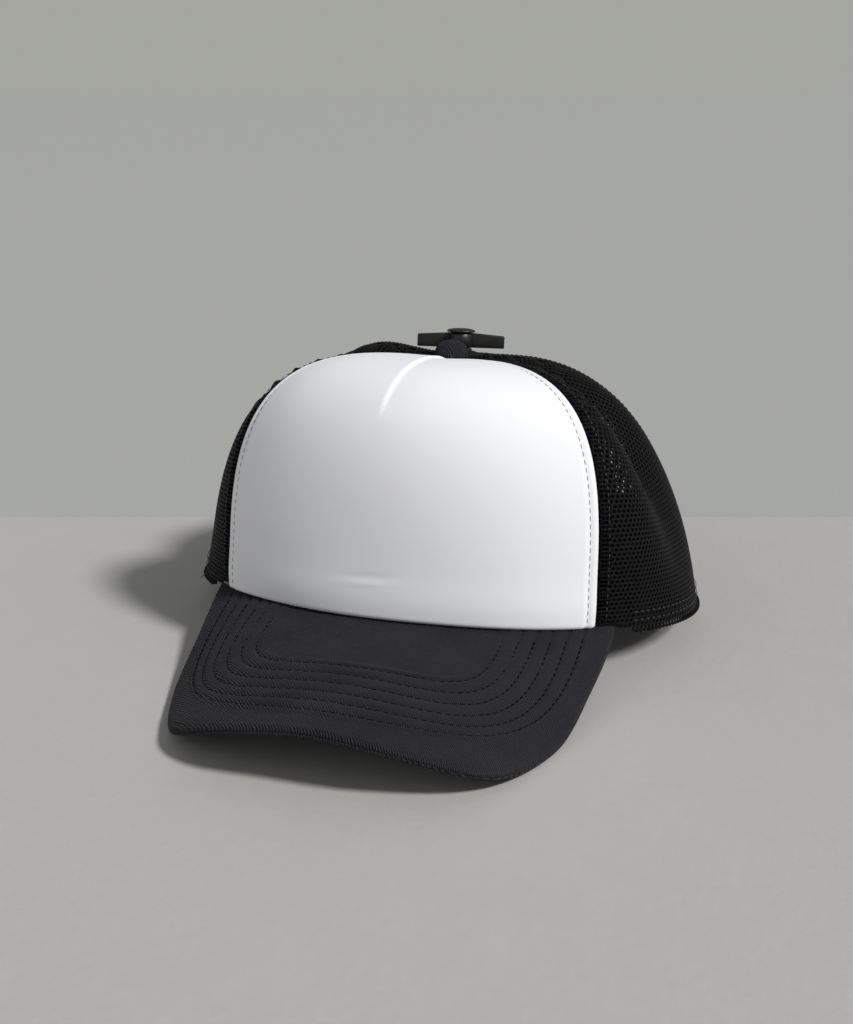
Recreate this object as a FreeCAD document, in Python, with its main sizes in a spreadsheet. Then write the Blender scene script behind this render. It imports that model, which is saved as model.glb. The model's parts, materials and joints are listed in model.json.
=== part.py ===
import FreeCAD
import Part
import Sketcher
import math
import os

# Trucker mesh cap: a foam-backed front panel, four mesh panels, a stitched visor,
# a covered crown button with a swivelling keeper bar behind it, and a two-piece
# snap strap across an arched opening at the back.
#
# The cap is drawn in its own frame, in millimetres: X runs across the head
# (+X is the wearer's left), -Y is the front, Z goes up, and z = 0 is the plane
# of the rim.  At the end every piece gets the same Placement, which leans the
# cap back until it rests on the two visor corners and the back rim.

Vector = FreeCAD.Vector

SIZES = [
    # rim and crown
    ("rim_half_width", 102.0, "half width of the rim oval"),
    ("rim_front", 80.0, "front depth of the rim oval"),
    ("rim_back", 94.0, "back depth of the rim oval"),
    ("rim_front_rise", 2.4, "rise of the rim at the front centre"),
    ("crown_height", 94.0, "height of the crown top over the rim plane"),
    ("crown_top_back", 5.8, "distance of the crown top in front of the oval's middle"),
    ("crown_hole", 3.2, "radius of the hole where the panels meet"),
    ("square_0", 5.0, "squareness of the profile at the front centre"),
    ("square_44", 3.6, "squareness at the front seam"),
    ("square_80", 1.95, "squareness at the side"),
    ("square_112", 3.1, "squareness at the side seam"),
    ("square_146", 2.8, "squareness at the back quarter"),
    ("square_180", 2.8, "squareness at the back centre"),
    ("lean_0", -0.03, "inward lean of the profile at the front centre"),
    ("lean_44", 0.0, "lean at the front seam"),
    ("lean_80", 0.12, "lean at the side"),
    ("lean_112", 0.19, "lean at the side seam"),
    ("lean_146", 0.0, "lean at the back quarter"),
    ("lean_180", 0.0, "lean at the back centre"),
    ("rim_trim", 0.02, "height of the mesh edge over the rim plane"),
    ("front_seam_angle", 43.9, "oval angle of the front seams"),
    ("side_seam_angle", 112.0, "oval angle of the side seams"),
    # layers, as depths under the outer crown surface
    ("face_thickness", 0.5, "front face fabric"),
    ("foam_thickness", 3.0, "front foam"),
    ("layer_gap", 0.1, "gap between layers sewn together"),
    ("mesh_depth", 1.2, "depth of the mesh under the front panel's face"),
    ("mesh_thickness", 0.8, "mesh"),
    ("tape_width", 9.0, "seam tape"),
    ("tape_thickness", 0.6, "seam tape"),
    ("tape_gap", 0.25, "gap between mesh and tape"),
    ("tape_top_radius", 20.0, "distance from the crown top where tapes end"),
    ("band_height", 32.0, "sweatband height"),
    ("band_thickness", 1.2, "sweatband"),
    ("band_pad_thickness", 2.0, "foam behind the sweatband's front"),
    ("band_pad_angle", 38.0, "oval angle where that foam ends"),
    ("band_end_angle", 154.0, "oval angle where the sweatband ends"),
    ("band_foam_angle", 48.0, "oval angle where the band starts to rise from the foam's depth"),
    ("band_foam_blend", 14.0, "angle that this rise takes"),
    ("band_tab_margin", 5.0, "angle by which the band is deep enough ahead of the strap tabs"),
    ("band_tab_blend", 18.0, "angle over which it gets deeper"),
    ("free_gap", 0.3, "gap between pieces that aren't face to face"),
    # arched opening
    ("arch_half_width", 44.0, "half width of the opening at the rim"),
    ("arch_height", 52.0, "height of the opening"),
    ("binding_width", 6.5, "binding over the mesh round the opening"),
    ("binding_lip", 1.0, "binding past the mesh edge"),
    ("binding_wall", 0.6, "binding thickness on each side of the mesh"),
    ("binding_reach_angle", 42.0, "angle from the back centre that the binding stays within"),
    # visor
    ("visor_half_width", 76.2, "half width where the visor meets the rim"),
    ("visor_length", 77.0, "length beyond the front of the rim"),
    ("visor_tuck", 2.0, "depth of the visor's edge under the front panel"),
    ("visor_end_clear", 3.0, "angle behind the visor's end where the mesh is still raised"),
    ("visor_end_blend", 8.0, "angle over which the mesh comes down to the rim"),
    ("visor_board_thickness", 2.0, "stiff board"),
    ("visor_cover_thickness", 0.6, "twill cover"),
    ("visor_slope_centre", 0.16, "fall per length at the centre"),
    ("visor_slope_side", 0.314, "extra fall at the sides, square term"),
    ("visor_slope_corner", 0.126, "extra fall at the sides, fourth power term"),
    # crown button
    ("button_radius", 6.6, "covered button"),
    ("button_rise", 4.1, "covered button height"),
    ("button_cloth", 0.6, "button cover"),
    ("button_shell_wall", 0.8, "button shell"),
    ("rivet_radius", 2.2, "rivet shank"),
    ("rivet_head_radius", 4.4, "rivet head"),
    ("rivet_head_thickness", 0.8, "rivet head"),
    ("washer_radius", 6.5, "washer inside the crown"),
    ("washer_thickness", 1.0, "washer inside the crown"),
    # keeper bar and its stud
    ("keeper_back", 13.5, "distance of the stud behind the button"),
    ("keeper_length", 35.0, "bar"),
    ("keeper_width", 3.0, "bar"),
    ("keeper_rise", 5.8, "bar height"),
    ("keeper_eye_radius", 4.9, "bar's eye"),
    ("keeper_corner", 0.6, "bar's edge fillet"),
    ("keeper_turn", 16.4, "turn of the bar from the X axis at rest"),
    ("stud_stem_radius", 3.0, "stud stem in the bar's eye"),
    ("stud_clearance", 0.3, "clearance between stud and bar"),
    ("stud_head_radius", 5.8, "stud head"),
    ("stud_head_thickness", 1.3, "stud head"),
    ("stud_collar_radius", 4.6, "collar that carries the bar"),
    ("stud_shank_radius", 2.0, "shank through the mesh"),
    ("stud_foot_radius", 4.5, "foot inside the crown"),
    ("stud_foot_thickness", 1.0, "foot inside the crown"),
    # snap strap
    ("strap_width", 18.0, "strap"),
    ("strap_thickness", 1.2, "strap"),
    ("strap_low", 2.0, "height of the strap over the rim plane"),
    ("strap_depth", 3.7, "depth of the outer strap under the crown surface"),
    ("strap_gap", 0.3, "gap between the two straps"),
    ("strap_hinge_angle", 21.9, "angle of each strap's bending line from the back centre"),
    ("strap_pitch_angle", 4.6, "angle between two pegs"),
    ("strap_pairs", 4, "pegs that sit in holes"),
    ("strap_holes", 7, "holes, and pegs"),
    ("strap_end_margin", 3.0, "angle from the last hole to the strap's end"),
    ("peg_radius", 2.0, "peg"),
    ("peg_clearance", 0.75, "radial clearance of a peg in its hole"),
    ("peg_rise", 2.0, "peg height over the strap"),
    ("tab_angle", 11.0, "length of each sewn tab as an angle"),
    ("tab_thickness", 1.0, "sewn tab"),
    ("tab_gap_angle", 0.55, "angle between a strap's bending line and its tab"),
]

doc = FreeCAD.newDocument("TruckerMeshCap")
sheet = doc.addObject("Spreadsheet::Sheet", "Sizes")
for row, (alias, value, note) in enumerate(SIZES, start=1):
    sheet.set(f"A{row}", alias)
    sheet.set(f"B{row}", str(value))
    sheet.setAlias(f"B{row}", alias)
    sheet.set(f"C{row}", note)
doc.recompute()


def size(alias):
    """The value of one named cell."""
    return float(sheet.get(alias))


RIM_X = size("rim_half_width")
RIM_FRONT = size("rim_front")
RIM_BACK = size("rim_back")
HEIGHT = size("crown_height")
TOP_Y = -size("crown_top_back")
GAP = size("free_gap")
RIM_TRIM = size("rim_trim")
LAYER = size("layer_gap")

# Depths of the layers under the outer crown surface.
FACE_IN = size("face_thickness")
FOAM_OUT = FACE_IN + LAYER
FOAM_IN = FOAM_OUT + size("foam_thickness")
MESH_OUT = size("mesh_depth")
MESH_IN = MESH_OUT + size("mesh_thickness")
TAPE_OUT = MESH_IN + size("tape_gap")
TAPE_IN = TAPE_OUT + size("tape_thickness")
PAD_OUT = FOAM_IN + GAP
PAD_IN = PAD_OUT + size("band_pad_thickness")
OUTER_STRAP_IN = size("strap_depth") + size("strap_thickness")
INNER_STRAP_OUT = OUTER_STRAP_IN + size("strap_gap")
INNER_STRAP_IN = INNER_STRAP_OUT + size("strap_thickness")
VISOR_HALF_THICKNESS = size("visor_board_thickness") / 2 + LAYER + size("visor_cover_thickness")

# Both straps are bent to the circle that follows the back of the rim.
BEND_RADIUS = RIM_X ** 2 / RIM_BACK


# ---------------------------------------------------------------- crown surface
def smooth(share):
    """An even S-shaped step from 0 to 1."""
    share = min(max(share, 0.0), 1.0)
    return share * share * (3 - 2 * share)


def between_stations(angle, stations):
    """Reads a value at an oval angle (degrees, either side) from (angle, value) pairs."""
    angle = abs(angle)
    for (start, first), (end, last) in zip(stations, stations[1:]):
        if angle <= end:
            return first + (last - first) * smooth((angle - start) / (end - start))
    return stations[-1][1]


# Oval angles where the profile's squareness and inward lean are given.
STATIONS = (0, 44, 80, 112, 146, 180)
SQUARENESS = [(angle, size(f"square_{angle}")) for angle in STATIONS]
LEAN = [(angle, size(f"lean_{angle}")) for angle in STATIONS]


def rim_point(angle):
    """A point of the rim oval; angle 0 is the front centre, +90 is the left side."""
    turn = math.radians(angle)
    depth = RIM_FRONT if math.cos(turn) > 0 else RIM_BACK
    rise = size("rim_front_rise") * max(math.cos(turn), 0.0) ** 2
    return Vector(RIM_X * math.sin(turn), -depth * math.cos(turn), rise)


def outer_point(angle, climb):
    """A point of the outer crown surface; climb is 0 at the rim and 90 at the top."""
    power = between_stations(angle, SQUARENESS)
    lean = between_stations(angle, LEAN)
    slope = math.radians(climb)
    reach = (math.cos(slope) ** power + math.sin(slope) ** power) ** (-1 / power)
    level = reach * math.sin(slope)
    out = reach * math.cos(slope) * (1 - lean * level)
    rim = rim_point(angle)
    return Vector(rim.x * out, TOP_Y + (rim.y - TOP_Y) * out, rim.z + (HEIGHT - rim.z) * level)


def crown_point(angle, climb, depth):
    """A point that lies the given depth under the outer crown surface."""
    step = 0.02
    here = outer_point(angle, climb)
    across = outer_point(angle + step, climb) - outer_point(angle - step, climb)
    upward = outer_point(angle, climb + step) - outer_point(angle, max(climb - step, 0.0))
    inward = upward.cross(across).normalize()
    return here + inward * depth


def climb_at_height(angle, height):
    """The climb where the profile is the given height over the rim."""
    power = between_stations(angle, SQUARENESS)
    level = height / (HEIGHT - rim_point(angle).z)
    out = (1 - level ** power) ** (1 / power)
    return math.degrees(math.atan2(level, out))


def climb_at_radius(angle, radius):
    """The climb where the profile is the given distance from the crown's axis."""
    power = between_stations(angle, SQUARENESS)
    lean = between_stations(angle, LEAN)
    rim = rim_point(angle)
    out = radius / (math.hypot(rim.x, rim.y - TOP_Y) * (1 - lean))
    level = (1 - out ** power) ** (1 / power)
    return math.degrees(math.atan2(level, out))


def angle_beside(angle, climb, offset):
    """The oval angle that lies the given distance beside another at one climb."""
    step = 0.5
    spread = (outer_point(angle + step, climb) - outer_point(angle - step, climb)).Length
    return angle + offset * 2 * step / spread


# ---------------------------------------------------------------- solids from sheets
# Points across and up each kind of sheet.
FRONT_GRID = (17, 19)
MESH_GRID = (23, 19)
TAPE_GRID = (5, 15)
BACK_TAPE_GRID = (5, 9)
BINDING_GRID = (15, 11)
BAND_GRID = (61, 6)
PAD_GRID = (15, 6)
TAB_GRID = (7, 5)
VISOR_GRID = (15, 7)
SHEET_MARGIN = 8.0


def solid_between(outer_grid, inner_grid):
    """A closed solid between two grids of points with the same corners' order."""
    surfaces = []
    for grid in (outer_grid, inner_grid):
        surface = Part.BSplineSurface()
        surface.interpolate(grid)
        surfaces.append(surface)
    outer, inner = surfaces
    faces = [outer.toShape(), inner.toShape()]
    low_u, high_u, low_v, high_v = outer.bounds()
    inner_low_u, inner_high_u, inner_low_v, inner_high_v = inner.bounds()
    rims = [
        (outer.uIso(low_u), inner.uIso(inner_low_u)),
        (outer.uIso(high_u), inner.uIso(inner_high_u)),
        (outer.vIso(low_v), inner.vIso(inner_low_v)),
        (outer.vIso(high_v), inner.vIso(inner_high_v)),
    ]
    for outer_rim, inner_rim in rims:
        faces.append(Part.makeRuledSurface(outer_rim.toShape(), inner_rim.toShape()))
    sewn = Part.Compound(faces)
    sewn.sewShape()
    solid = Part.Solid(sewn.Shells[0])
    if solid.Volume < 0:
        solid.reverse()
    return solid


def crown_patch(start, end, low, high, outer_depth, inner_depth, counts):
    """A thick piece of the crown.

    start and end give the oval angle of each side at a climb; low and high give
    the climb of the bottom and top edge at an angle; the depths may change with
    the angle; counts gives the points across and up.
    """
    columns, rows = counts
    grids = ([], [])
    for column in range(columns):
        share = column / (columns - 1)
        lines = ([], [])
        for row in range(rows):
            rough = start(45) + (end(45) - start(45)) * share
            climb = low(rough) + (high(rough) - low(rough)) * row / (rows - 1)
            angle = start(climb) + (end(climb) - start(climb)) * share
            lines[0].append(crown_point(angle, climb, outer_depth(angle)))
            lines[1].append(crown_point(angle, climb, inner_depth(angle)))
        grids[0].append(lines[0])
        grids[1].append(lines[1])
    return solid_between(*grids)


def level(value):
    """A depth that is the same all round."""
    return lambda angle: value


def seam_side(angle, offset):
    """A line that runs beside a seam at a fixed distance."""
    return lambda climb: angle_beside(angle, climb, offset)


def at_height(height):
    """An edge at one height over the rim."""
    return lambda angle: climb_at_height(angle, height)


def at_radius(radius):
    """An edge at one distance from the crown's axis."""
    return lambda angle: climb_at_radius(angle, radius)


def visor_slope(across):
    """Fall of the visor per length forward; steeper towards its ends."""
    share = across / size("visor_half_width")
    side = size("visor_slope_side") * share ** 2
    corner = size("visor_slope_corner") * share ** 4
    return size("visor_slope_centre") + side + corner


def over_visor(angle):
    """Height over the rim that clears the visor's tucked-in edge."""
    tucked_rise = size("visor_tuck") * visor_slope(rim_point(angle).x)
    return VISOR_HALF_THICKNESS + GAP + tucked_rise


def front_panel_low(angle):
    """The front panel's bottom edge, just over the visor."""
    return climb_at_height(angle, over_visor(angle))


def side_panel_low(angle):
    """The mesh rises over the visor's end, and comes down to the rim behind it."""
    end = math.degrees(math.asin(size("visor_half_width") / RIM_X))
    past = abs(angle) - end - size("visor_end_clear")
    rise = over_visor(angle) * (1 - smooth(past / size("visor_end_blend")))
    return climb_at_height(angle, max(rise, RIM_TRIM))


def tape_low(angle):
    """The front tapes' bottom edge, over the front panel's."""
    return climb_at_height(angle, over_visor(angle) + GAP)


def arch_prism(outset):
    """The arched opening, enlarged by outset, as a prism along Y."""
    width = size("arch_half_width") + outset
    height = size("arch_height") + outset
    front = Vector(0, RIM_BACK / 4, 0)
    if height > width:
        corner = front + Vector(0, 0, height)
        side = front + Vector(width, 0, 0)
    else:
        corner = front + Vector(width, 0, 0)
        side = front + Vector(0, 0, height)
    oval = Part.Ellipse(corner, side, front)
    whole = Part.Face(Part.Wire(oval.toShape())).extrude(Vector(0, RIM_BACK, 0))
    below = Part.makeBox(2 * width, RIM_BACK, height, Vector(-width, RIM_BACK / 4, -height))
    return whole.fuse(below)


def stud_middle():
    """The keeper stud's axis at the rim plane."""
    return Vector(0, TOP_Y + size("keeper_back"), 0)


# ---------------------------------------------------------------- document objects
pieces = {}


def add_piece(node, shape):
    """A sub-part whose shape follows the crown or visor surface."""
    feature = doc.addObject("Part::Feature", node)
    feature.Shape = shape
    feature.Label = node
    pieces[node] = feature
    return feature


def build_front_panel():
    """The smooth face fabric and the foam behind it, from seam to seam."""
    seam = size("front_seam_angle")
    layers = [
        ("front_face_fabric", 0.0, FACE_IN),
        ("front_foam_backing", FOAM_OUT, FOAM_IN),
    ]
    for node, outer, inner in layers:
        patch = crown_patch(
            seam_side(-seam, LAYER),
            seam_side(seam, -LAYER),
            front_panel_low,
            at_radius(size("crown_hole")),
            level(outer),
            level(inner),
            FRONT_GRID,
        )
        add_piece(node, patch)


def build_mesh_panels():
    """Two side panels, and two back panels with the arched opening cut out."""
    front, side = size("front_seam_angle"), size("side_seam_angle")
    opening = arch_prism(0)
    shank = Part.makeCylinder(size("stud_shank_radius") + GAP, HEIGHT, stud_middle())
    for name, sign in (("left", 1), ("right", -1)):
        side_panel = crown_patch(
            seam_side(sign * front, sign * LAYER),
            seam_side(sign * side, -sign * LAYER),
            side_panel_low,
            at_radius(size("crown_hole")),
            level(MESH_OUT),
            level(MESH_IN),
            MESH_GRID,
        )
        add_piece(f"side_mesh_{name}", side_panel)
        back_panel = crown_patch(
            seam_side(sign * side, sign * LAYER),
            seam_side(sign * 180, -sign * LAYER),
            at_height(RIM_TRIM),
            at_radius(size("crown_hole")),
            level(MESH_OUT),
            level(MESH_IN),
            MESH_GRID,
        )
        add_piece(f"back_mesh_{name}", back_panel.cut(opening).cut(shank))


def build_seam_tapes():
    """Tapes inside the seams; the front ones lie on the mesh beside the foam."""
    width = size("tape_width")
    front, side = size("front_seam_angle"), size("side_seam_angle")
    top = at_radius(size("tape_top_radius"))
    foam_side = GAP + LAYER
    for name, sign in (("left", 1), ("right", -1)):
        rows = [
            (f"front_seam_tape_{name}", front, foam_side, foam_side + width, tape_low),
            (f"side_seam_tape_{name}", side, -width / 2, width / 2, at_height(GAP)),
        ]
        for node, angle, near, far, low in rows:
            patch = crown_patch(
                seam_side(sign * angle, sign * near),
                seam_side(sign * angle, sign * far),
                low,
                top,
                level(TAPE_OUT),
                level(TAPE_IN),
                TAPE_GRID,
            )
            add_piece(node, patch)
    over_arch = size("arch_height") + size("binding_width") + TAPE_IN
    patch = crown_patch(
        seam_side(180, -width / 2),
        seam_side(180, width / 2),
        at_height(over_arch + GAP),
        top,
        level(TAPE_OUT),
        level(TAPE_IN),
        BACK_TAPE_GRID,
    )
    add_piece("back_seam_tape", patch)


def build_arch_binding():
    """A binding folded round the mesh's edge at the arched opening."""
    wall = size("binding_wall")
    reach = 180 - size("binding_reach_angle")
    top = size("arch_height") + 4 * size("binding_width")

    def sheet_of_crown(outer, inner):
        """A sheet of the crown's back between two depths."""
        return crown_patch(
            lambda climb: reach,
            lambda climb: 360 - reach,
            at_height(GAP),
            at_height(top),
            level(outer),
            level(inner),
            BINDING_GRID,
        )

    band = sheet_of_crown(MESH_OUT - LAYER - wall, MESH_IN + LAYER + wall)
    band = band.common(arch_prism(size("binding_width"))).cut(arch_prism(-size("binding_lip")))
    room = sheet_of_crown(MESH_OUT - LAYER, MESH_IN + LAYER).cut(arch_prism(-LAYER))
    add_piece("arch_binding", band.cut(room))


def tab_oval_angle(bend_angle):
    """The oval angle of a place on the straps' bend, given from the back centre."""
    across = BEND_RADIUS * math.sin(math.radians(bend_angle))
    return 180 - math.degrees(math.asin(across / RIM_X))


def band_outer(angle):
    """Depth of the sweatband: deep behind the front foam and the strap tabs."""
    side_depth = TAPE_IN + 2 * GAP
    back_depth = INNER_STRAP_IN + LAYER
    front_depth = PAD_IN + GAP
    turn = abs(angle)
    if turn < 90:
        rise = smooth((turn - size("band_foam_angle")) / size("band_foam_blend"))
        return front_depth + (side_depth - front_depth) * rise
    tab_end = size("strap_hinge_angle") + size("tab_gap_angle") + size("tab_angle")
    deep_from = tab_oval_angle(tab_end) - size("band_tab_margin")
    fall = smooth((turn - deep_from) / size("band_tab_blend") + 1)
    return side_depth + (back_depth - side_depth) * fall


def build_sweatband():
    """The sweatband inside the rim, and the foam strip behind its front."""
    end = size("band_end_angle")
    band = crown_patch(
        lambda climb: -end,
        lambda climb: end,
        at_height(2 * GAP),
        at_height(size("band_height")),
        band_outer,
        lambda angle: band_outer(angle) + size("band_thickness"),
        BAND_GRID,
    )
    add_piece("sweatband", band)
    pad_end = size("band_pad_angle")
    pad = crown_patch(
        lambda climb: -pad_end,
        lambda climb: pad_end,
        at_height(2 * GAP),
        at_height(size("band_height") - 2 * GAP),
        level(PAD_OUT),
        level(PAD_IN),
        PAD_GRID,
    )
    add_piece("sweatband_padding", pad)


# ---------------------------------------------------------------- visor
def rim_line(across, inset=0.0):
    """The front of the rim oval as a function of the distance from the centre plane."""
    return -(RIM_FRONT - inset) * math.sqrt(max(1 - (across / (RIM_X - inset)) ** 2, 0))


def visor_height(across, forward):
    """Height of the visor's middle layer over the rim plane."""
    root = size("rim_front_rise") * (1 - (across / RIM_X) ** 2)
    return root - visor_slope(across) * (rim_line(across) - forward)


def visor_outline(inset):
    """The visor's outline from one end round the front to the other, half by half."""
    half = size("visor_half_width")
    end_y = rim_line(half)
    front_y = -(RIM_FRONT + size("visor_length"))
    shares = [(1.0, 0.0), (0.955, 0.265), (0.878, 0.556), (0.682, 0.842), (0.362, 0.978)]
    right = []
    for across, forward in shares:
        right.append((across * (half - inset), end_y + forward * (front_y + inset - end_y)))
    middle = [(0.0, front_y + inset)]
    left = [(-across, forward) for across, forward in reversed(right)]
    return right + middle + left


def visor_prism(inset, tuck):
    """The visor's outline in plan as a tall prism; tuck is its depth under the crown."""
    outline = [Vector(x, y, 0) for x, y in visor_outline(inset)]
    front = Part.BSplineCurve()
    front.interpolate(outline)
    half = outline[0].x
    back_points = []
    steps = 8
    for step in range(steps + 1):
        across = half - 2 * half * step / steps
        back_points.append(Vector(across, rim_line(across, tuck), 0))
    back = Part.BSplineCurve()
    back.interpolate(back_points)
    right = Part.LineSegment(outline[0], back_points[0])
    left = Part.LineSegment(outline[-1], back_points[-1])
    wire = Part.Wire(Part.__sortEdges__([c.toShape() for c in (front, back, right, left)]))
    low = Vector(0, 0, -HEIGHT)
    return Part.Face(wire).translated(low).extrude(Vector(0, 0, 2 * HEIGHT))


def visor_sheet(low, high):
    """A sheet that follows the visor, between two heights about its middle layer."""
    half = size("visor_half_width") + SHEET_MARGIN / 2
    near, far = -SHEET_MARGIN, size("visor_length") + SHEET_MARGIN
    grids = ([], [])
    columns, rows = VISOR_GRID
    for column in range(columns):
        across = -half + 2 * half * column / (columns - 1)
        lines = ([], [])
        for row in range(rows):
            forward = rim_line(across) - near - (far - near) * row / (rows - 1)
            height = visor_height(across, forward)
            lines[0].append(Vector(across, forward, height + high))
            lines[1].append(Vector(across, forward, height + low))
        grids[0].append(lines[0])
        grids[1].append(lines[1])
    return solid_between(*grids)


def build_visor():
    """The board, and two covers that close over its edge."""
    board = size("visor_board_thickness") / 2
    wall = size("visor_cover_thickness") + LAYER
    tuck = size("visor_tuck")
    seam = LAYER / 2
    add_piece("visor_board", visor_sheet(-board, board).common(visor_prism(wall, tuck - GAP)))
    beyond = tuck + 2 * wall
    room = visor_sheet(-board - LAYER, board + LAYER).common(visor_prism(wall - LAYER, beyond))
    outline = visor_prism(0, tuck)
    top = visor_sheet(seam, board + wall).common(outline).cut(room)
    under = visor_sheet(-board - wall, -seam).common(outline).cut(room)
    add_piece("visor_top_cover", top)
    add_piece("visor_under_cover", under)


# ---------------------------------------------------------------- button and keeper
def primitive(kind, name, middle_y, base_z, **bindings):
    """A Part primitive standing on the crown's middle plane, bound to the sheet."""
    shape = doc.addObject(f"Part::{kind}", name)
    for prop, expression in bindings.items():
        shape.setExpression(prop, expression)
    shape.setExpression("Placement.Base.y", middle_y)
    shape.setExpression("Placement.Base.z", base_z)
    return shape


def boolean(kind, name, base, tool):
    """A Part boolean of two objects."""
    result = doc.addObject(f"Part::{kind}", name)
    result.Base = base
    result.Tool = tool
    return result


def finish_piece(feature, node):
    """Names a finished sub-part and keeps it for export."""
    feature.Label = node
    pieces[node] = feature


BUTTON_Y = "-Sizes.crown_top_back"
KEEPER_Y = "Sizes.keeper_back - Sizes.crown_top_back"
BUTTON_Z = "Sizes.crown_height + Sizes.free_gap"
FOAM_IN_Z = "(Sizes.crown_height - Sizes.face_thickness - Sizes.layer_gap - Sizes.foam_thickness)"
MESH_TOP_Z = "(Sizes.crown_height - Sizes.mesh_depth)"
MESH_IN_Z = "(Sizes.crown_height - Sizes.mesh_depth - Sizes.mesh_thickness)"


def dome(name, radius, rise, base_z):
    """The upper half of a flat ellipsoid."""
    shape = primitive("Ellipsoid", name, BUTTON_Y, base_z, Radius1=rise, Radius2=radius, Radius3=radius)
    shape.Angle1 = 0
    shape.Angle2 = 90
    return shape


def build_button():
    """The covered crown button, its rivet, and the washer inside the crown."""
    cloth = "Sizes.button_cloth"
    shell_radius = f"Sizes.button_radius - {cloth} - Sizes.layer_gap"
    shell_rise = f"Sizes.button_rise - {cloth} - Sizes.layer_gap"
    wall = "Sizes.button_shell_wall"
    cover_out = dome("CoverOutside", "Sizes.button_radius", "Sizes.button_rise", BUTTON_Z)
    cover_room = dome(
        "CoverInside", f"Sizes.button_radius - {cloth}", f"Sizes.button_rise - {cloth}", BUTTON_Z
    )
    finish_piece(boolean("Cut", "ButtonCover", cover_out, cover_room), "button_cover")
    shell_out = dome("ShellOutside", shell_radius, shell_rise, BUTTON_Z)
    shell_room = dome("ShellInside", f"{shell_radius} - {wall}", f"{shell_rise} - {wall}", BUTTON_Z)
    finish_piece(boolean("Cut", "ButtonShell", shell_out, shell_room), "button_shell")
    head = primitive(
        "Cylinder", "RivetHead", BUTTON_Y, BUTTON_Z,
        Radius="Sizes.rivet_head_radius", Height="Sizes.rivet_head_thickness",
    )
    shank_z = f"{FOAM_IN_Z} - Sizes.free_gap - 2 * Sizes.washer_thickness"
    shank = primitive(
        "Cylinder", "RivetShank", BUTTON_Y, shank_z,
        Radius="Sizes.rivet_radius", Height=f"{BUTTON_Z} + Sizes.rivet_head_thickness - ({shank_z})",
    )
    finish_piece(boolean("Fuse", "ButtonRivet", head, shank), "button_rivet")
    washer_z = f"{FOAM_IN_Z} - Sizes.free_gap - Sizes.washer_thickness"
    disc = primitive(
        "Cylinder", "WasherDisc", BUTTON_Y, washer_z,
        Radius="Sizes.washer_radius", Height="Sizes.washer_thickness",
    )
    hole = primitive(
        "Cylinder", "WasherHole", BUTTON_Y, washer_z,
        Radius="Sizes.rivet_radius + Sizes.layer_gap", Height="Sizes.washer_thickness",
    )
    finish_piece(boolean("Cut", "ButtonBack", disc, hole), "button_back")


STUD_FOOT_Z = f"{MESH_IN_Z} - 2 * Sizes.free_gap - Sizes.stud_foot_thickness"
COLLAR_Z = f"{MESH_TOP_Z} + Sizes.free_gap"
KEEPER_Z = "Sizes.crown_height + 2 * Sizes.free_gap"


def build_keeper_stud():
    """The stud: foot, shank through the mesh, collar, stem and mushroom head."""
    head_z = f"{KEEPER_Z} + Sizes.keeper_rise + Sizes.stud_clearance"
    collar_top = f"{KEEPER_Z} - Sizes.stud_clearance"
    rows = [
        ("StudFoot", STUD_FOOT_Z, "Sizes.stud_foot_radius", "Sizes.stud_foot_thickness"),
        ("StudShank", STUD_FOOT_Z, "Sizes.stud_shank_radius", f"{collar_top} - ({STUD_FOOT_Z})"),
        ("StudCollar", COLLAR_Z, "Sizes.stud_collar_radius", f"{collar_top} - ({COLLAR_Z})"),
        ("StudStem", COLLAR_Z, "Sizes.stud_stem_radius", f"{head_z} - ({COLLAR_Z})"),
        ("StudHead", head_z, "Sizes.stud_head_radius", "Sizes.stud_head_thickness"),
    ]
    parts = []
    for name, base_z, radius, height in rows:
        parts.append(primitive("Cylinder", name, KEEPER_Y, base_z, Radius=radius, Height=height))
    stud = doc.addObject("Part::MultiFuse", "KeeperStud")
    stud.Shapes = parts
    finish_piece(stud, "keeper_stud")


def origin_feature(body, role):
    """One of the body's own origin planes or axes."""
    return next(item for item in body.Origin.OriginFeatures if item.Role == role)


def new_sketch(body, name, role):
    """A sketch on one of the body's origin planes."""
    sketch = body.newObject("Sketcher::SketchObject", name)
    sketch.AttachmentSupport = [(origin_feature(body, role), "")]
    sketch.MapMode = "FlatFace"
    return sketch


def bind(sketch, name, expression):
    """Names the newest constraint and ties it to the sheet."""
    index = sketch.ConstraintCount - 1
    sketch.renameConstraint(index, name)
    sketch.setExpression(f"Constraints.{name}", expression)


def circle(sketch, name, radius, across=None, upward=None):
    """A circle about the sketch's origin, or about a point given by expressions."""
    index = sketch.addGeometry(Part.Circle(Vector(1, 1, 0), Vector(0, 0, 1), 1), False)
    sketch.addConstraint(Sketcher.Constraint("Radius", index, 1))
    bind(sketch, f"{name}_radius", radius)
    for axis, place in (("DistanceX", across), ("DistanceY", upward)):
        sketch.addConstraint(Sketcher.Constraint(axis, -1, 1, index, 3, 1))
        bind(sketch, f"{name}_{axis[-1].lower()}", place if place else "0 mm")
    return index


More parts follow.
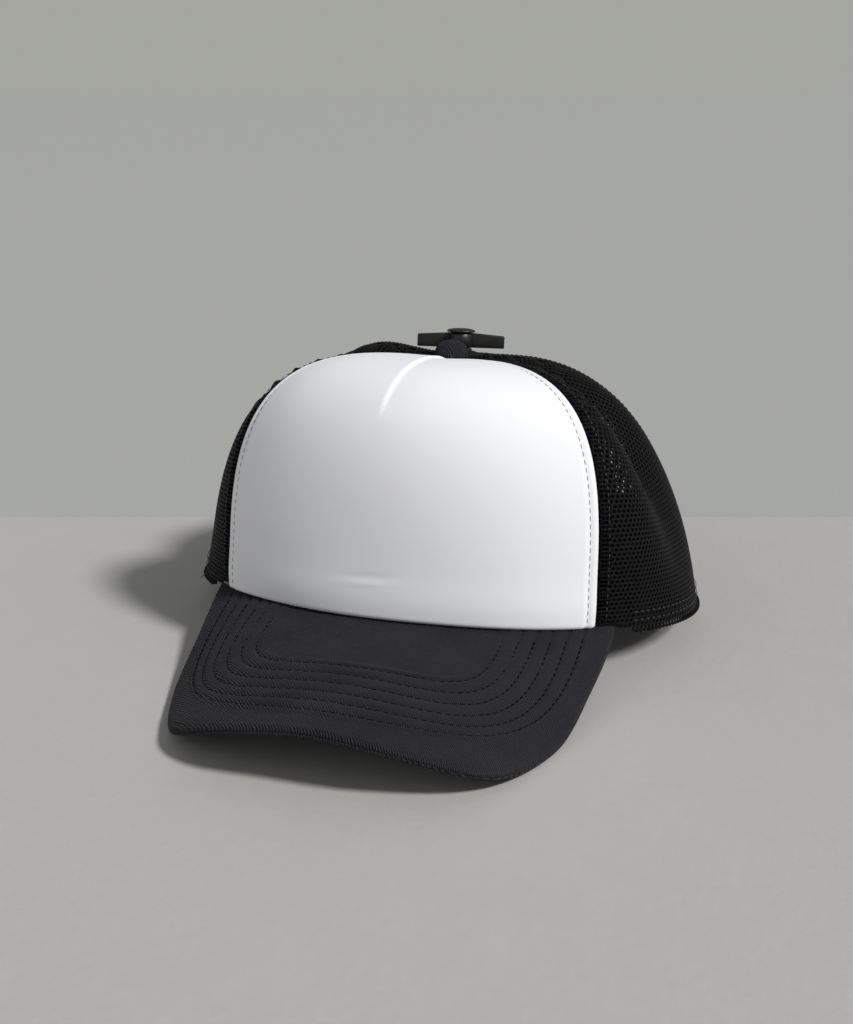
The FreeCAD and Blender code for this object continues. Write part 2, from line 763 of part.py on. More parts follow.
def rectangle(sketch, left, right, low, high):
    """A rectangle given by four expressions."""
    corners = [Vector(-1, -1, 0), Vector(1, -1, 0), Vector(1, 1, 0), Vector(-1, 1, 0)]
    first = sketch.GeometryCount
    for index in range(4):
        sketch.addGeometry(Part.LineSegment(corners[index], corners[(index + 1) % 4]), False)
    for index in range(4):
        following = first + (index + 1) % 4
        sketch.addConstraint(Sketcher.Constraint("Coincident", first + index, 2, following, 1))
    for index, kind in ((0, "Horizontal"), (1, "Vertical"), (2, "Horizontal"), (3, "Vertical")):
        sketch.addConstraint(Sketcher.Constraint(kind, first + index))
    rows = [
        ("left", "DistanceX", first, left),
        ("low", "DistanceY", first, low),
        ("right", "DistanceX", first + 2, right),
        ("high", "DistanceY", first + 2, high),
    ]
    for name, axis, line, place in rows:
        sketch.addConstraint(Sketcher.Constraint(axis, -1, 1, line, 1, 1))
        bind(sketch, name, place)


def build_keeper_bar():
    """A moulded bar with an eye that turns on the stud."""
    body = doc.addObject("PartDesign::Body", "KeeperBar")
    plan = new_sketch(body, "BarPlan", "XY_Plane")
    half = "Sizes.keeper_length / 2"
    side = "Sizes.keeper_width / 2"
    rectangle(plan, f"-{half}", half, f"-{side}", side)
    bar = body.newObject("PartDesign::Pad", "Bar")
    bar.Profile = plan
    bar.setExpression("Length", "Sizes.keeper_rise")
    eye_plan = new_sketch(body, "EyePlan", "XY_Plane")
    circle(eye_plan, "eye", "Sizes.keeper_eye_radius")
    eye = body.newObject("PartDesign::Pad", "Eye")
    eye.Profile = eye_plan
    eye.setExpression("Length", "Sizes.keeper_rise")
    bore_plan = new_sketch(body, "BorePlan", "XY_Plane")
    circle(bore_plan, "bore", "Sizes.stud_stem_radius + Sizes.stud_clearance")
    bore = body.newObject("PartDesign::Pocket", "Bore")
    bore.Profile = bore_plan
    bore.Type = "ThroughAll"
    bore.Midplane = True
    doc.recompute()
    ends = []
    far = size("keeper_length") / 2
    for index, edge in enumerate(bore.Shape.Edges, start=1):
        if abs(abs(edge.CenterOfMass.x) - far) < 1e-3:
            ends.append(f"Edge{index}")
    rounding = body.newObject("PartDesign::Fillet", "EndRounding")
    rounding.Base = (bore, ends)
    rounding.setExpression("Radius", "Sizes.keeper_corner")
    body.Tip = rounding
    finish_piece(body, "keeper_bar")


# ---------------------------------------------------------------- snap strap
BEND_EXPRESSION = "Sizes.rim_half_width * Sizes.rim_half_width / Sizes.rim_back"
BEND_Y = RIM_BACK - BEND_RADIUS


def first_hole_angle():
    """Angle of the last shared hole, towards the strap's free end."""
    return size("strap_pitch_angle") * (size("strap_pairs") - 1) / 2


def strap_plan(body, name, outer_depth, inner_depth, sign):
    """The strap in plan: two arcs, a square free end and a round end at its bend."""
    outer = BEND_RADIUS - outer_depth
    inner = BEND_RADIUS - inner_depth
    middle = (outer + inner) / 2
    bend = math.radians(90 - sign * size("strap_hinge_angle"))
    free = math.radians(90 + sign * (first_hole_angle() + size("strap_end_margin")))
    start, end = (bend, free) if sign > 0 else (free, bend)
    sketch = new_sketch(body, name, "XY_Plane")
    along = Vector(0, 0, 1)
    sketch.addGeometry(Part.ArcOfCircle(Part.Circle(Vector(), along, outer), start, end), False)
    sketch.addGeometry(Part.ArcOfCircle(Part.Circle(Vector(), along, inner), start, end), False)
    outer_free = Vector(outer * math.cos(free), outer * math.sin(free), 0)
    inner_free = Vector(inner * math.cos(free), inner * math.sin(free), 0)
    sketch.addGeometry(Part.LineSegment(outer_free, inner_free), False)
    nose = Vector(middle * math.cos(bend), middle * math.sin(bend), 0)
    if sign > 0:
        nose_start, nose_end = bend - math.pi, bend
    else:
        nose_start, nose_end = bend, bend + math.pi
    nose_circle = Part.Circle(nose, along, (outer - inner) / 2)
    sketch.addGeometry(Part.ArcOfCircle(nose_circle, nose_start, nose_end), False)
    bend_end, free_end = (1, 2) if sign > 0 else (2, 1)
    links = [
        (0, free_end, 2, 1),
        (1, free_end, 2, 2),
        (0, bend_end, 3, 2 if sign > 0 else 1),
        (1, bend_end, 3, 1 if sign > 0 else 2),
    ]
    for first, first_end, second, second_end in links:
        sketch.addConstraint(
            Sketcher.Constraint("Coincident", first, first_end, second, second_end)
        )
    for arc, depth in ((0, outer_depth), (1, inner_depth)):
        sketch.addConstraint(Sketcher.Constraint("Coincident", arc, 3, -1, 1))
        sketch.addConstraint(Sketcher.Constraint("Radius", arc, BEND_RADIUS - depth))
        bind(sketch, f"arc_{arc}_radius", f"{BEND_EXPRESSION} - {depth}")
    return sketch


def round_free_corners(body, sign):
    """Rounds the two corners of a strap's free end."""
    doc.recompute()
    free = math.radians(90 + sign * (first_hole_angle() + size("strap_end_margin")))
    edges = []
    base = body.Tip
    for index, edge in enumerate(base.Shape.Edges, start=1):
        place = edge.CenterOfMass
        at_end = abs(math.atan2(place.y, place.x) - free) < 1e-4
        if at_end and abs(edge.Length - size("strap_thickness")) < 1e-3:
            edges.append(f"Edge{index}")
    fillet = body.newObject("PartDesign::Fillet", f"{body.Name}Corners")
    fillet.Base = (base, edges)
    fillet.setExpression("Radius", "Sizes.strap_width / 3")
    body.Tip = fillet


def row_of_features(body, feature, sign):
    """Repeats one hole or peg along the strap about its bend's centre."""
    pattern = body.newObject("PartDesign::PolarPattern", f"{body.Name}Row")
    pattern.Originals = [feature]
    pattern.Axis = (origin_feature(body, "Z_Axis"), [""])
    pattern.Reversed = sign > 0
    pattern.setExpression("Angle", "Sizes.strap_pitch_angle * (Sizes.strap_holes - 1)")
    pattern.setExpression("Occurrences", "Sizes.strap_holes")
    body.Tip = pattern


def radial_sketch(body, name, sign):
    """A sketch that faces along the strap's radius at the last hole."""
    sketch = new_sketch(body, name, "XZ_Plane")
    turn = sign * first_hole_angle()
    sketch.AttachmentOffset = FreeCAD.Placement(
        Vector(), FreeCAD.Rotation(Vector(0, 1, 0), turn)
    )
    return sketch


def build_strap(node, sign, outer_depth, inner_depth, pegged):
    """One strap; sign +1 starts at the left of the opening, -1 at the right."""
    body = doc.addObject("PartDesign::Body", node.title().replace("_", ""))
    plan = strap_plan(body, f"{body.Name}Plan", outer_depth, inner_depth, sign)
    band = body.newObject("PartDesign::Pad", f"{body.Name}Band")
    band.Profile = plan
    band.setExpression("Length", "Sizes.strap_width")
    body.Tip = band
    round_free_corners(body, sign)
    doc.recompute()
    before = body.Tip.Shape.Volume
    sketch = radial_sketch(body, f"{body.Name}Mark", sign)
    middle = "Sizes.strap_width / 2"
    if pegged:
        circle(sketch, "peg", "Sizes.peg_radius", None, middle)
        feature = body.newObject("PartDesign::Pad", f"{body.Name}Peg")
        feature.Profile = sketch
        inside = f"({BEND_EXPRESSION} - {inner_depth - size('strap_thickness') / 2})"
        turn = "(Sizes.strap_pitch_angle * (Sizes.strap_pairs - 1) / 2 * 1 deg)"
        sketch.setExpression("AttachmentOffset.Base.x", f"{-sign} * {inside} * sin{turn}")
        sketch.setExpression("AttachmentOffset.Base.z", f"-1 * {inside} * cos{turn}")
        feature.Reversed = True
        feature.setExpression("Length", "Sizes.strap_thickness / 2 + Sizes.peg_rise")
    else:
        circle(sketch, "hole", "Sizes.peg_radius + Sizes.peg_clearance", None, middle)
        feature = body.newObject("PartDesign::Pocket", f"{body.Name}Hole")
        feature.Profile = sketch
        feature.setExpression("Length", BEND_EXPRESSION)
        feature.Reversed = False
    body.Tip = feature
    doc.recompute()
    row_of_features(body, feature, sign)
    doc.recompute()
    changed = abs(body.Shape.Volume - before)
    assert changed > 1, f"{node}: the row of pegs or holes changed nothing"
    finish_piece(body, node)


def build_tab(node, sign, outer_depth):
    """The flat end of a strap that is sewn inside the rim."""
    near = size("strap_hinge_angle") + size("tab_gap_angle")
    far = near + size("tab_angle")
    tab = crown_patch(
        lambda climb: sign * tab_oval_angle(far),
        lambda climb: sign * tab_oval_angle(near),
        at_height(size("strap_low")),
        at_height(size("strap_low") + size("strap_width")),
        level(outer_depth),
        level(outer_depth + size("tab_thickness")),
        TAB_GRID,
    )
    add_piece(node, tab)


# ---------------------------------------------------------------- assembly
build_front_panel()
build_mesh_panels()
build_seam_tapes()
build_arch_binding()
build_sweatband()
build_visor()
build_button()
build_keeper_stud()
build_keeper_bar()
tab_play = (size("strap_thickness") - size("tab_thickness")) / 2
build_strap("strap_holed", 1, size("strap_depth"), OUTER_STRAP_IN, False)
build_strap("strap_pegged", -1, INNER_STRAP_OUT, INNER_STRAP_IN, True)
build_tab("strap_holed_tab", 1, size("strap_depth") + tab_play)
build_tab("strap_pegged_tab", -1, INNER_STRAP_OUT + tab_play)
doc.recompute()


def resting_tilt():
    """The lean, in degrees, at which the visor corners and the back rim share a floor."""
    rear_y = RIM_BACK * math.sqrt(1 - (size("arch_half_width") / RIM_X) ** 2)
    tilt = 0.0
    for across, forward in visor_outline(0):
        low = visor_height(across, forward) - VISOR_HALF_THICKNESS
        tilt = max(tilt, math.degrees(math.atan2(-low, rear_y - forward)))
    return tilt


LOCAL = {
    "keeper_bar": FreeCAD.Placement(
        Vector(0, TOP_Y + size("keeper_back"), HEIGHT + 2 * GAP),
        FreeCAD.Rotation(Vector(0, 0, 1), size("keeper_turn")),
    ),
    "strap_holed": FreeCAD.Placement(Vector(0, BEND_Y, size("strap_low")), FreeCAD.Rotation()),
    "strap_pegged": FreeCAD.Placement(Vector(0, BEND_Y, size("strap_low")), FreeCAD.Rotation()),
}


def stand_on_floor():
    """Leans the cap, then moves its box's bottom centre to the origin."""
    lean = FreeCAD.Placement(Vector(), FreeCAD.Rotation(Vector(1, 0, 0), -resting_tilt()))
    for node, feature in pieces.items():
        feature.Placement = lean.multiply(LOCAL.get(node, FreeCAD.Placement()))
    doc.recompute()
    points = []
    for feature in pieces.values():
        points.extend(feature.Shape.tessellate(0.2)[0])
    low = Vector(*(min(point[axis] for point in points) for axis in range(3)))
    high = Vector(*(max(point[axis] for point in points) for axis in range(3)))
    shift = Vector(-(low.x + high.x) / 2, -(low.y + high.y) / 2, -low.z)
    for feature in pieces.values():
        placement = feature.Placement
        placement.Base = placement.Base + shift
        feature.Placement = placement
    doc.recompute()
    return shift


shift = stand_on_floor()

failed = [item.Name for item in doc.Objects if "Invalid" in item.State or "Error" in item.State]
assert not failed, f"failed objects: {failed}"
os.makedirs("parts", exist_ok=True)
for node, feature in pieces.items():
    shape = feature.Shape
    assert not shape.isNull() and shape.isValid(), f"{node} has no valid shape"
    assert len(shape.Solids) >= 1, f"{node} is not a solid"
for node, feature in pieces.items():
    feature.Shape.exportStep(f"parts/{node}.step")
    print(f"{node}: {len(feature.Shape.Solids)} solid, {feature.Shape.Volume:.0f} mm3")
print(f"tilt {resting_tilt():.3f} degrees, shift {shift.x:.3f} {shift.y:.3f} {shift.z:.3f}")
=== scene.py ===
"""Looks of the trucker mesh cap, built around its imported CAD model."""
import bisect
import enum
import json
import logging
import math
from collections.abc import Callable
from dataclasses import dataclass
from functools import cached_property

import bmesh
import bpy
from mathutils import Matrix, Vector, noise


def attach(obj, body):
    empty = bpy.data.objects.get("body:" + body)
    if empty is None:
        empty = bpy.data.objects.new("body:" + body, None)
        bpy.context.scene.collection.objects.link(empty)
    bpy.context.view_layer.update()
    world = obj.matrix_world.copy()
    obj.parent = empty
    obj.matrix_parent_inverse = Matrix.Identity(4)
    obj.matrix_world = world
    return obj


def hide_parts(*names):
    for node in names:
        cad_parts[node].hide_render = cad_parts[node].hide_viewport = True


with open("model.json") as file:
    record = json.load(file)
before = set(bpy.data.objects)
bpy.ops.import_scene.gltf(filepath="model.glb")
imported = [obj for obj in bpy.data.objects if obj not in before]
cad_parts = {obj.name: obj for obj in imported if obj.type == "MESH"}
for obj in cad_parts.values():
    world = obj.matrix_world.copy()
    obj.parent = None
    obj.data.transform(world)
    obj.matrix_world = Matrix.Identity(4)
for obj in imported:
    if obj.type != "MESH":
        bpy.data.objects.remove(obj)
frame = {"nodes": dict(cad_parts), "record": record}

logging.basicConfig(level=logging.INFO, format="%(message)s")
LOG = logging.getLogger("cap")
MM = 0.001
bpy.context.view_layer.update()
Place = Callable[[float, float], Vector]
ARCH_HALF_WIDTH = 44 * MM
ARCH_HEIGHT = 52 * MM
# Rough length up the crown for one degree of climb.
CLIMB_LENGTH = 1.55 * MM


# ------------------------------------------------------------------ small helpers
def smooth(share: float) -> float:
    """An even S-shaped step from 0 to 1."""
    share = min(max(share, 0.0), 1.0)
    return share * share * (3 - 2 * share)


def bump(distance: float, width: float) -> float:
    """A rounded hump that is 1 at distance 0 and fades over the width."""
    return math.exp(-((distance / width) ** 2))


def rounded_edge(distance: float, radius: float) -> float:
    """How far a rounded edge has dropped at a distance from the edge."""
    if distance >= radius:
        return 0.0
    inside = radius - max(distance, 0.0)
    return radius - math.sqrt(max(radius * radius - inside * inside, 0.0))


def frame_matrix(origin: Vector, along: Vector, up: Vector) -> Matrix:
    """A placement with its X axis along a line and its Z axis near a direction.

    Args:
        origin: where the placed shape's centre goes.
        along: direction of the shape's X axis.
        up: direction that the shape's Z axis leans towards.

    Returns:
        The placement as a matrix.
    """
    x_axis = along.normalized()
    y_axis = up.cross(x_axis).normalized()
    z_axis = x_axis.cross(y_axis)
    turn = Matrix((x_axis, y_axis, z_axis)).transposed().to_4x4()
    return Matrix.Translation(origin) @ turn


# ------------------------------------------------------------------ shared shapes
@dataclass(frozen=True)
class CapFrame:
    """The lean and place of the cap, read from the keeper bar's joint."""

    keeper_back: float = 13.5 * MM
    keeper_rise: float = 0.6 * MM

    @cached_property
    def joint(self) -> dict:
        """The keeper bar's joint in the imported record."""
        joints = frame["record"]["behaviour"]["joints"]
        return next(item for item in joints if item["name"] == "keeper_swivel")

    @cached_property
    def up(self) -> Vector:
        """The cap's own upward direction."""
        return Vector(self.joint["axis"]).normalized()

    @cached_property
    def turn(self) -> Matrix:
        """Rotation from the cap's own axes to the row frame."""
        lean = math.atan2(self.up.y, self.up.z)
        return Matrix.Rotation(-lean, 3, "X")

    def shift(self, crown: "CrownShape") -> Vector:
        """Place of the rim oval's middle in the row frame."""
        own = Vector((0, crown.top_y + self.keeper_back, crown.height + self.keeper_rise))
        return Vector(self.joint["pos_m"]) - self.turn @ own


@dataclass(frozen=True)
class CrownShape:
    """The crown's outer surface in the cap's own axes, with the rim plane at z = 0."""

    half_width: float = 102 * MM
    front: float = 80 * MM
    back: float = 94 * MM
    front_rise: float = 2.4 * MM
    height: float = 94 * MM
    top_y: float = -5.8 * MM
    front_seam: float = 43.9
    side_seam: float = 112.0
    squareness: tuple = ((0, 5.0), (44, 3.6), (80, 1.95), (112, 3.1), (146, 2.8), (180, 2.8))
    lean: tuple = ((0, -0.03), (44, 0.0), (80, 0.12), (112, 0.19), (146, 0.0), (180, 0.0))

    @staticmethod
    def station(angle: float, stations: tuple) -> float:
        """Reads a value at an oval angle from (angle, value) pairs."""
        angle = abs(angle)
        if angle > 180:
            angle = 360 - angle
        for (start, first), (end, last) in zip(stations, stations[1:]):
            if angle <= end:
                return first + (last - first) * smooth((angle - start) / (end - start))
        return stations[-1][1]

    def rim(self, angle: float) -> Vector:
        """A point of the rim oval; angle 0 is the front centre, 90 the left side."""
        turn = math.radians(angle)
        depth = self.front if math.cos(turn) > 0 else self.back
        rise = self.front_rise * max(math.cos(turn), 0.0) ** 2
        return Vector((self.half_width * math.sin(turn), -depth * math.cos(turn), rise))

    def outer(self, angle: float, climb: float) -> Vector:
        """A point of the outer surface; climb is 0 at the rim and 90 at the top."""
        power = self.station(angle, self.squareness)
        lean = self.station(angle, self.lean)
        slope = math.radians(min(max(climb, 0.0), 90.0))
        reach = (math.cos(slope) ** power + math.sin(slope) ** power) ** (-1 / power)
        level = reach * math.sin(slope)
        out = reach * math.cos(slope) * (1 - lean * level)
        rim = self.rim(angle)
        y = self.top_y + (rim.y - self.top_y) * out
        return Vector((rim.x * out, y, rim.z + (self.height - rim.z) * level))

    def normal(self, angle: float, climb: float) -> Vector:
        """Outward direction of the surface."""
        step = 0.05
        across = self.outer(angle + step, climb) - self.outer(angle - step, climb)
        upward = self.outer(angle, climb + step) - self.outer(angle, climb - step)
        return across.cross(upward).normalized()

    def point(self, angle: float, climb: float, depth: float) -> Vector:
        """A point that lies a depth under the outer surface."""
        return self.outer(angle, climb) - self.normal(angle, climb) * depth

    def spread(self, angle: float, climb: float) -> float:
        """Length across the surface for one degree of oval angle."""
        return (self.outer(angle + 0.5, climb) - self.outer(angle - 0.5, climb)).length

    def climb_at_height(self, angle: float, height: float) -> float:
        """The climb where the profile is a height over the rim."""
        power = self.station(angle, self.squareness)
        level = height / (self.height - self.rim(angle).z)
        out = (1 - level**power) ** (1 / power)
        return math.degrees(math.atan2(level, out))

    def climb_at_radius(self, angle: float, radius: float) -> float:
        """The climb where the profile is a distance from the crown's axis."""
        power = self.station(angle, self.squareness)
        lean = self.station(angle, self.lean)
        rim = self.rim(angle)
        out = radius / (math.hypot(rim.x, rim.y - self.top_y) * (1 - lean))
        return math.degrees(math.atan2((1 - out**power) ** (1 / power), out))


@dataclass(frozen=True)
class VisorShape:
    """The visor's middle layer and its outline, in the cap's own axes."""

    crown: CrownShape
    half_width: float = 76.2 * MM
    length: float = 77 * MM
    half_thickness: float = 1.7 * MM
    slopes: tuple = (0.16, 0.314, 0.126)
    outline: tuple = (
        (0.0, 1.0), (0.362, 0.978), (0.682, 0.842), (0.878, 0.556), (0.955, 0.265), (1.0, 0.0),
    )
    outline_beyond: tuple = (1.0, -0.26)

    def slope(self, across: float) -> float:
        """Fall of the visor per length forward."""
        share = across / self.half_width
        centre, side, corner = self.slopes
        return centre + side * share**2 + corner * share**4

    def rim_line(self, across: float, inset: float = 0.0) -> float:
        """The front of the rim oval at a distance from the centre plane."""
        share = across / (self.crown.half_width - inset)
        return -(self.crown.front - inset) * math.sqrt(max(1 - share**2, 0.0))

    def height(self, across: float, forward: float) -> float:
        """Height of the visor's middle layer over the rim plane."""
        root = self.crown.front_rise * (1 - (across / self.crown.half_width) ** 2)
        return root - self.slope(across) * (self.rim_line(across) - forward)

    def edge(self, share: float) -> tuple[float, float]:
        """A point of the outline in plan.

        Args:
            share: -1 at the right end, 0 at the front centre, 1 at the left end.

        Returns:
            Distance from the centre plane, and the place from front to back.
        """
        points = self.outline
        last = len(points) - 1
        place = min(abs(share), 1.0) * last
        index = min(int(place), last - 1)
        part = place - index
        before = points[index - 1] if index else (-points[1][0], points[1][1])
        after = points[index + 2] if index + 2 <= last else self.outline_beyond
        near, far = points[index], points[index + 1]
        mixed = []
        for axis in (0, 1):
            p0, p1, p2, p3 = before[axis], near[axis], far[axis], after[axis]
            curve = 2 * p1 + (p2 - p0) * part
            curve += (2 * p0 - 5 * p1 + 4 * p2 - p3) * part**2
            curve += (3 * p1 - p0 - 3 * p2 + p3) * part**3
            mixed.append(curve / 2)
        end_y = self.rim_line(self.half_width)
        front_y = -(self.crown.front + self.length)
        across = math.copysign(mixed[0] * self.half_width, share)
        return across, end_y + mixed[1] * (front_y - end_y)


@dataclass(frozen=True)
class Strip:
    """A band of the crown that runs up beside a line of equal oval angle."""

    angle: float
    near: float
    far: float
    low: float
    high: float

    def at(self, across: float, upward: float) -> tuple[float, float, float]:
        """Oval angle, climb and offset for two shares from -1 to 1."""
        climb = self.low + (self.high - self.low) * (upward + 1) / 2
        offset = self.near + (self.far - self.near) * (across + 1) / 2
        return self.angle + offset / CROWN.spread(self.angle, climb), climb, offset

    def flat(self, across: float, upward: float) -> Vector:
        """Cloth coordinates of the strip."""
        length = (self.high - self.low) * CLIMB_LENGTH
        return Vector((across * (self.far - self.near) / 2, upward * length / 2, 0))

    def line(self, offset: float, depth: float, steps: int = 120) -> list:
        """Points and outward directions along the strip at one offset."""
        share = 2 * (offset - self.near) / (self.far - self.near) - 1
        points = []
        for step in range(steps + 1):
            angle, climb, _ = self.at(share, 2 * step / steps - 1)
            point = CROWN.point(angle, climb, depth - sag(angle, climb))
            points.append((point, CROWN.normal(angle, climb)))
        return points


CROWN = CrownShape()
VISOR = VisorShape(CROWN)
CAP = CapFrame()
TURN = CAP.turn
SHIFT = CAP.shift(CROWN)


@dataclass(frozen=True)
class SoftCrown:
    """How the soft crown lies against its even pattern."""

    sink_back: float = 0.5 * MM
    sink_front: float = 2.5 * MM
    sink_radius: float = 31 * MM
    front_end: float = 110.0
    front_fade: float = 70.0
    puff: float = 4.4 * MM
    puff_left_share: float = 0.2
    puff_angle: float = 100.0
    puff_angle_width: float = 34.0
    puff_climb: float = 64.0
    puff_climb_width: float = 13.0

    def out(self, angle: float, climb: float) -> float:
        """Distance out from the pattern.

        Args:
            angle: oval angle.
            climb: climb on the crown.

        Returns:
            Distance out: sunk round the button, puffed out high on the right.
        """
        turned = (angle + 180) % 360 - 180
        place = CROWN.outer(angle, climb)
        radius = math.hypot(place.x, place.y - CROWN.top_y)
        front = smooth((self.front_end - abs(turned)) / self.front_fade)
        sunk = (self.sink_back + self.sink_front * front) * bump(radius, self.sink_radius)
        puffed = self.puff if turned < 0 else self.puff * self.puff_left_share
        puffed *= bump(abs(turned) - self.puff_angle, self.puff_angle_width)
        return puffed * bump(climb - self.puff_climb, self.puff_climb_width) - sunk


sag = SoftCrown().out


def to_row(own: Vector) -> Vector:
    """Moves a point from the cap's own axes to the row frame."""
    return TURN @ own + SHIFT


# ------------------------------------------------------------------ node groups
class Nodes:
    """Adds and links shader nodes in one tree."""

    def __init__(self, tree: bpy.types.NodeTree) -> None:
        """Keeps the tree that the nodes go into."""
        self.tree = tree

    def add(self, kind: str, inputs: dict | None = None, **settings: object) -> bpy.types.Node:
        """Adds a node.

        Args:
            kind: the node type without its ShaderNode prefix.
            inputs: values or sockets for the node's inputs, by name or number.
            settings: properties of the node.

        Returns:
            The new node.
        """
        node = self.tree.nodes.new(f"ShaderNode{kind}")
        for key, value in settings.items():
            setattr(node, key, value)
        for key, value in (inputs or {}).items():
            if isinstance(value, bpy.types.NodeSocket):
                self.tree.links.new(value, node.inputs[key])
            else:
                node.inputs[key].default_value = value
        return node

    def math(self, operation: str, first: object, second: object = 0.0) -> bpy.types.NodeSocket:
        """Adds a Math node and returns its result."""
        node = self.add("Math", {0: first, 1: second}, operation=operation)
        return node.outputs[0]

    def wave(self, place: object, rate: float = 1.0) -> bpy.types.NodeSocket:
        """Adds a sine wave that repeats a number of times per unit of length."""
        return self.math("SINE", self.math("MULTIPLY", place, 2 * math.pi * rate))


def new_group(name: str, inputs: dict[str, object], outputs: dict[str, str]) -> tuple:
    """Starts a shader node group.

    Args:
        name: the group's name.
        inputs: default values by socket name; a tuple makes a vector or colour.
        outputs: socket types by name.

    Returns:
        The group, its node adder, its input node and its output node.
    """
    group = bpy.data.node_groups.new(name, "ShaderNodeTree")
    for label, value in inputs.items():
        kind = "NodeSocketFloat"
        if isinstance(value, tuple):
            kind = "NodeSocketColor" if len(value) == 4 else "NodeSocketVector"
        socket = group.interface.new_socket(name=label, in_out="INPUT", socket_type=kind)
        socket.default_value = value
    for label, kind in outputs.items():
        group.interface.new_socket(name=label, in_out="OUTPUT", socket_type=kind)
    source = group.nodes.new("NodeGroupInput")
    return group, Nodes(group), source, group.nodes.new("NodeGroupOutput")


class Weave(enum.Enum):
    """How the threads of a cloth cross."""

    PLAIN = "plain"
    TWILL = "twill"
    KNIT = "knit"


def weave_group(kind: Weave) -> bpy.types.NodeTree:
    """A group that gives thread height from flat cloth coordinates, built once per weave."""
    name = f"weave_{kind.value}"
    if name in bpy.data.node_groups:
        return bpy.data.node_groups[name]
    inputs = {"Vector": (0.0, 0.0, 0.0), "Threads": 1000.0}
    group, nodes, source, sink = new_group(name, inputs, {"Height": "NodeSocketFloat"})
    scaled = nodes.add("VectorMath", {0: source.outputs["Vector"]}, operation="SCALE")
    group.links.new(source.outputs["Threads"], scaled.inputs["Scale"])
    place = scaled.outputs[0]
    wobble = nodes.add("TexNoise", {"Vector": place, "Scale": 0.35, "Detail": 2.0})
    mixed = nodes.add("VectorMath", {0: place, 1: wobble.outputs["Color"]}, operation="ADD")
    split = nodes.add("SeparateXYZ", {0: mixed.outputs[0]})
    across, along = split.outputs[0], split.outputs[1]
    if kind is Weave.TWILL:
        rib = nodes.wave(nodes.math("ADD", across, along))
        twist = nodes.wave(nodes.math("SUBTRACT", across, along), 1.5)
        height = nodes.math("ADD", rib, nodes.math("MULTIPLY", twist, 0.35))
    elif kind is Weave.PLAIN:
        height = nodes.math("MULTIPLY", nodes.wave(across), nodes.wave(along))
    else:
        slant = nodes.math("MULTIPLY", nodes.math("PINGPONG", along, 0.5), 0.8)
        column = nodes.math("MULTIPLY", nodes.wave(nodes.math("ADD", across, slant)), 0.7)
        height = nodes.math("ADD", column, nodes.math("MULTIPLY", nodes.wave(along), 0.3))
    half = nodes.math("ADD", nodes.math("MULTIPLY", height, 0.5), 0.5)
    group.links.new(half, sink.inputs["Height"])
    return group


CLOTH_GRAIN = 900.0


def mottle_group() -> bpy.types.NodeTree:
    """A group that varies a colour softly, and adds fine fibre grain and dust."""
    if "mottle" in bpy.data.node_groups:
        return bpy.data.node_groups["mottle"]
    inputs = {
        "Vector": (0.0, 0.0, 0.0), "Colour": (0.5, 0.5, 0.5, 1.0),
        "Amount": 0.2, "Patch": 60.0, "Grain": CLOTH_GRAIN,
    }
    outputs = {"Colour": "NodeSocketColor", "Grain": "NodeSocketFloat"}
    group, nodes, source, sink = new_group("mottle", inputs, outputs)
    patch = nodes.add("TexNoise", {"Vector": source.outputs["Vector"], "Detail": 3.0})
    group.links.new(source.outputs["Patch"], patch.inputs["Scale"])
    grain = nodes.add("TexNoise", {"Vector": source.outputs["Vector"], "Detail": 2.0})
    group.links.new(source.outputs["Grain"], grain.inputs["Scale"])
    blend = nodes.math("ADD", patch.outputs[0], nodes.math("MULTIPLY", grain.outputs[0], 0.6))
    around = nodes.math("SUBTRACT", blend, 0.8)
    swing = nodes.math("MULTIPLY", around, source.outputs["Amount"])
    gain = nodes.math("ADD", swing, 1.0)
    tinted = nodes.add("VectorMath", {0: source.outputs["Colour"]}, operation="SCALE")
    group.links.new(gain, tinted.inputs["Scale"])
    group.links.new(tinted.outputs[0], sink.inputs["Colour"])
    group.links.new(grain.outputs[0], sink.inputs["Grain"])
    return group


# ------------------------------------------------------------------ finishes
def start_material(name: str, colour: tuple, amount: float, grain: float) -> tuple:
    """Starts a material whose colour is mottled on Object coordinates.

    Args:
        name: the material's name.
        colour: the base colour.
        amount: how strongly the colour varies.
        grain: how fine the fibre grain is.

    Returns:
        The material, its node adder and its mottle node.
    """
    material = bpy.data.materials.new(name)
    material.use_nodes = True
    nodes = Nodes(material.node_tree)
    mottle = nodes.add("Group", {}, node_tree=mottle_group())
    body = nodes.add("TexCoord").outputs["Object"]
    material.node_tree.links.new(body, mottle.inputs["Vector"])
    mottle.inputs["Colour"].default_value = (*colour, 1.0)
    mottle.inputs["Amount"].default_value = amount
    mottle.inputs["Grain"].default_value = grain
    return material, nodes, mottle


def end_material(material: bpy.types.Material, sockets: dict, values: dict) -> bpy.types.Material:
    """Links sockets to the material's shader and sets its other inputs."""
    shader = material.node_tree.nodes["Principled BSDF"]
    for label, socket in sockets.items():
        material.node_tree.links.new(socket, shader.inputs[label])
    for label, value in values.items():
        shader.inputs[label].default_value = value
    return material


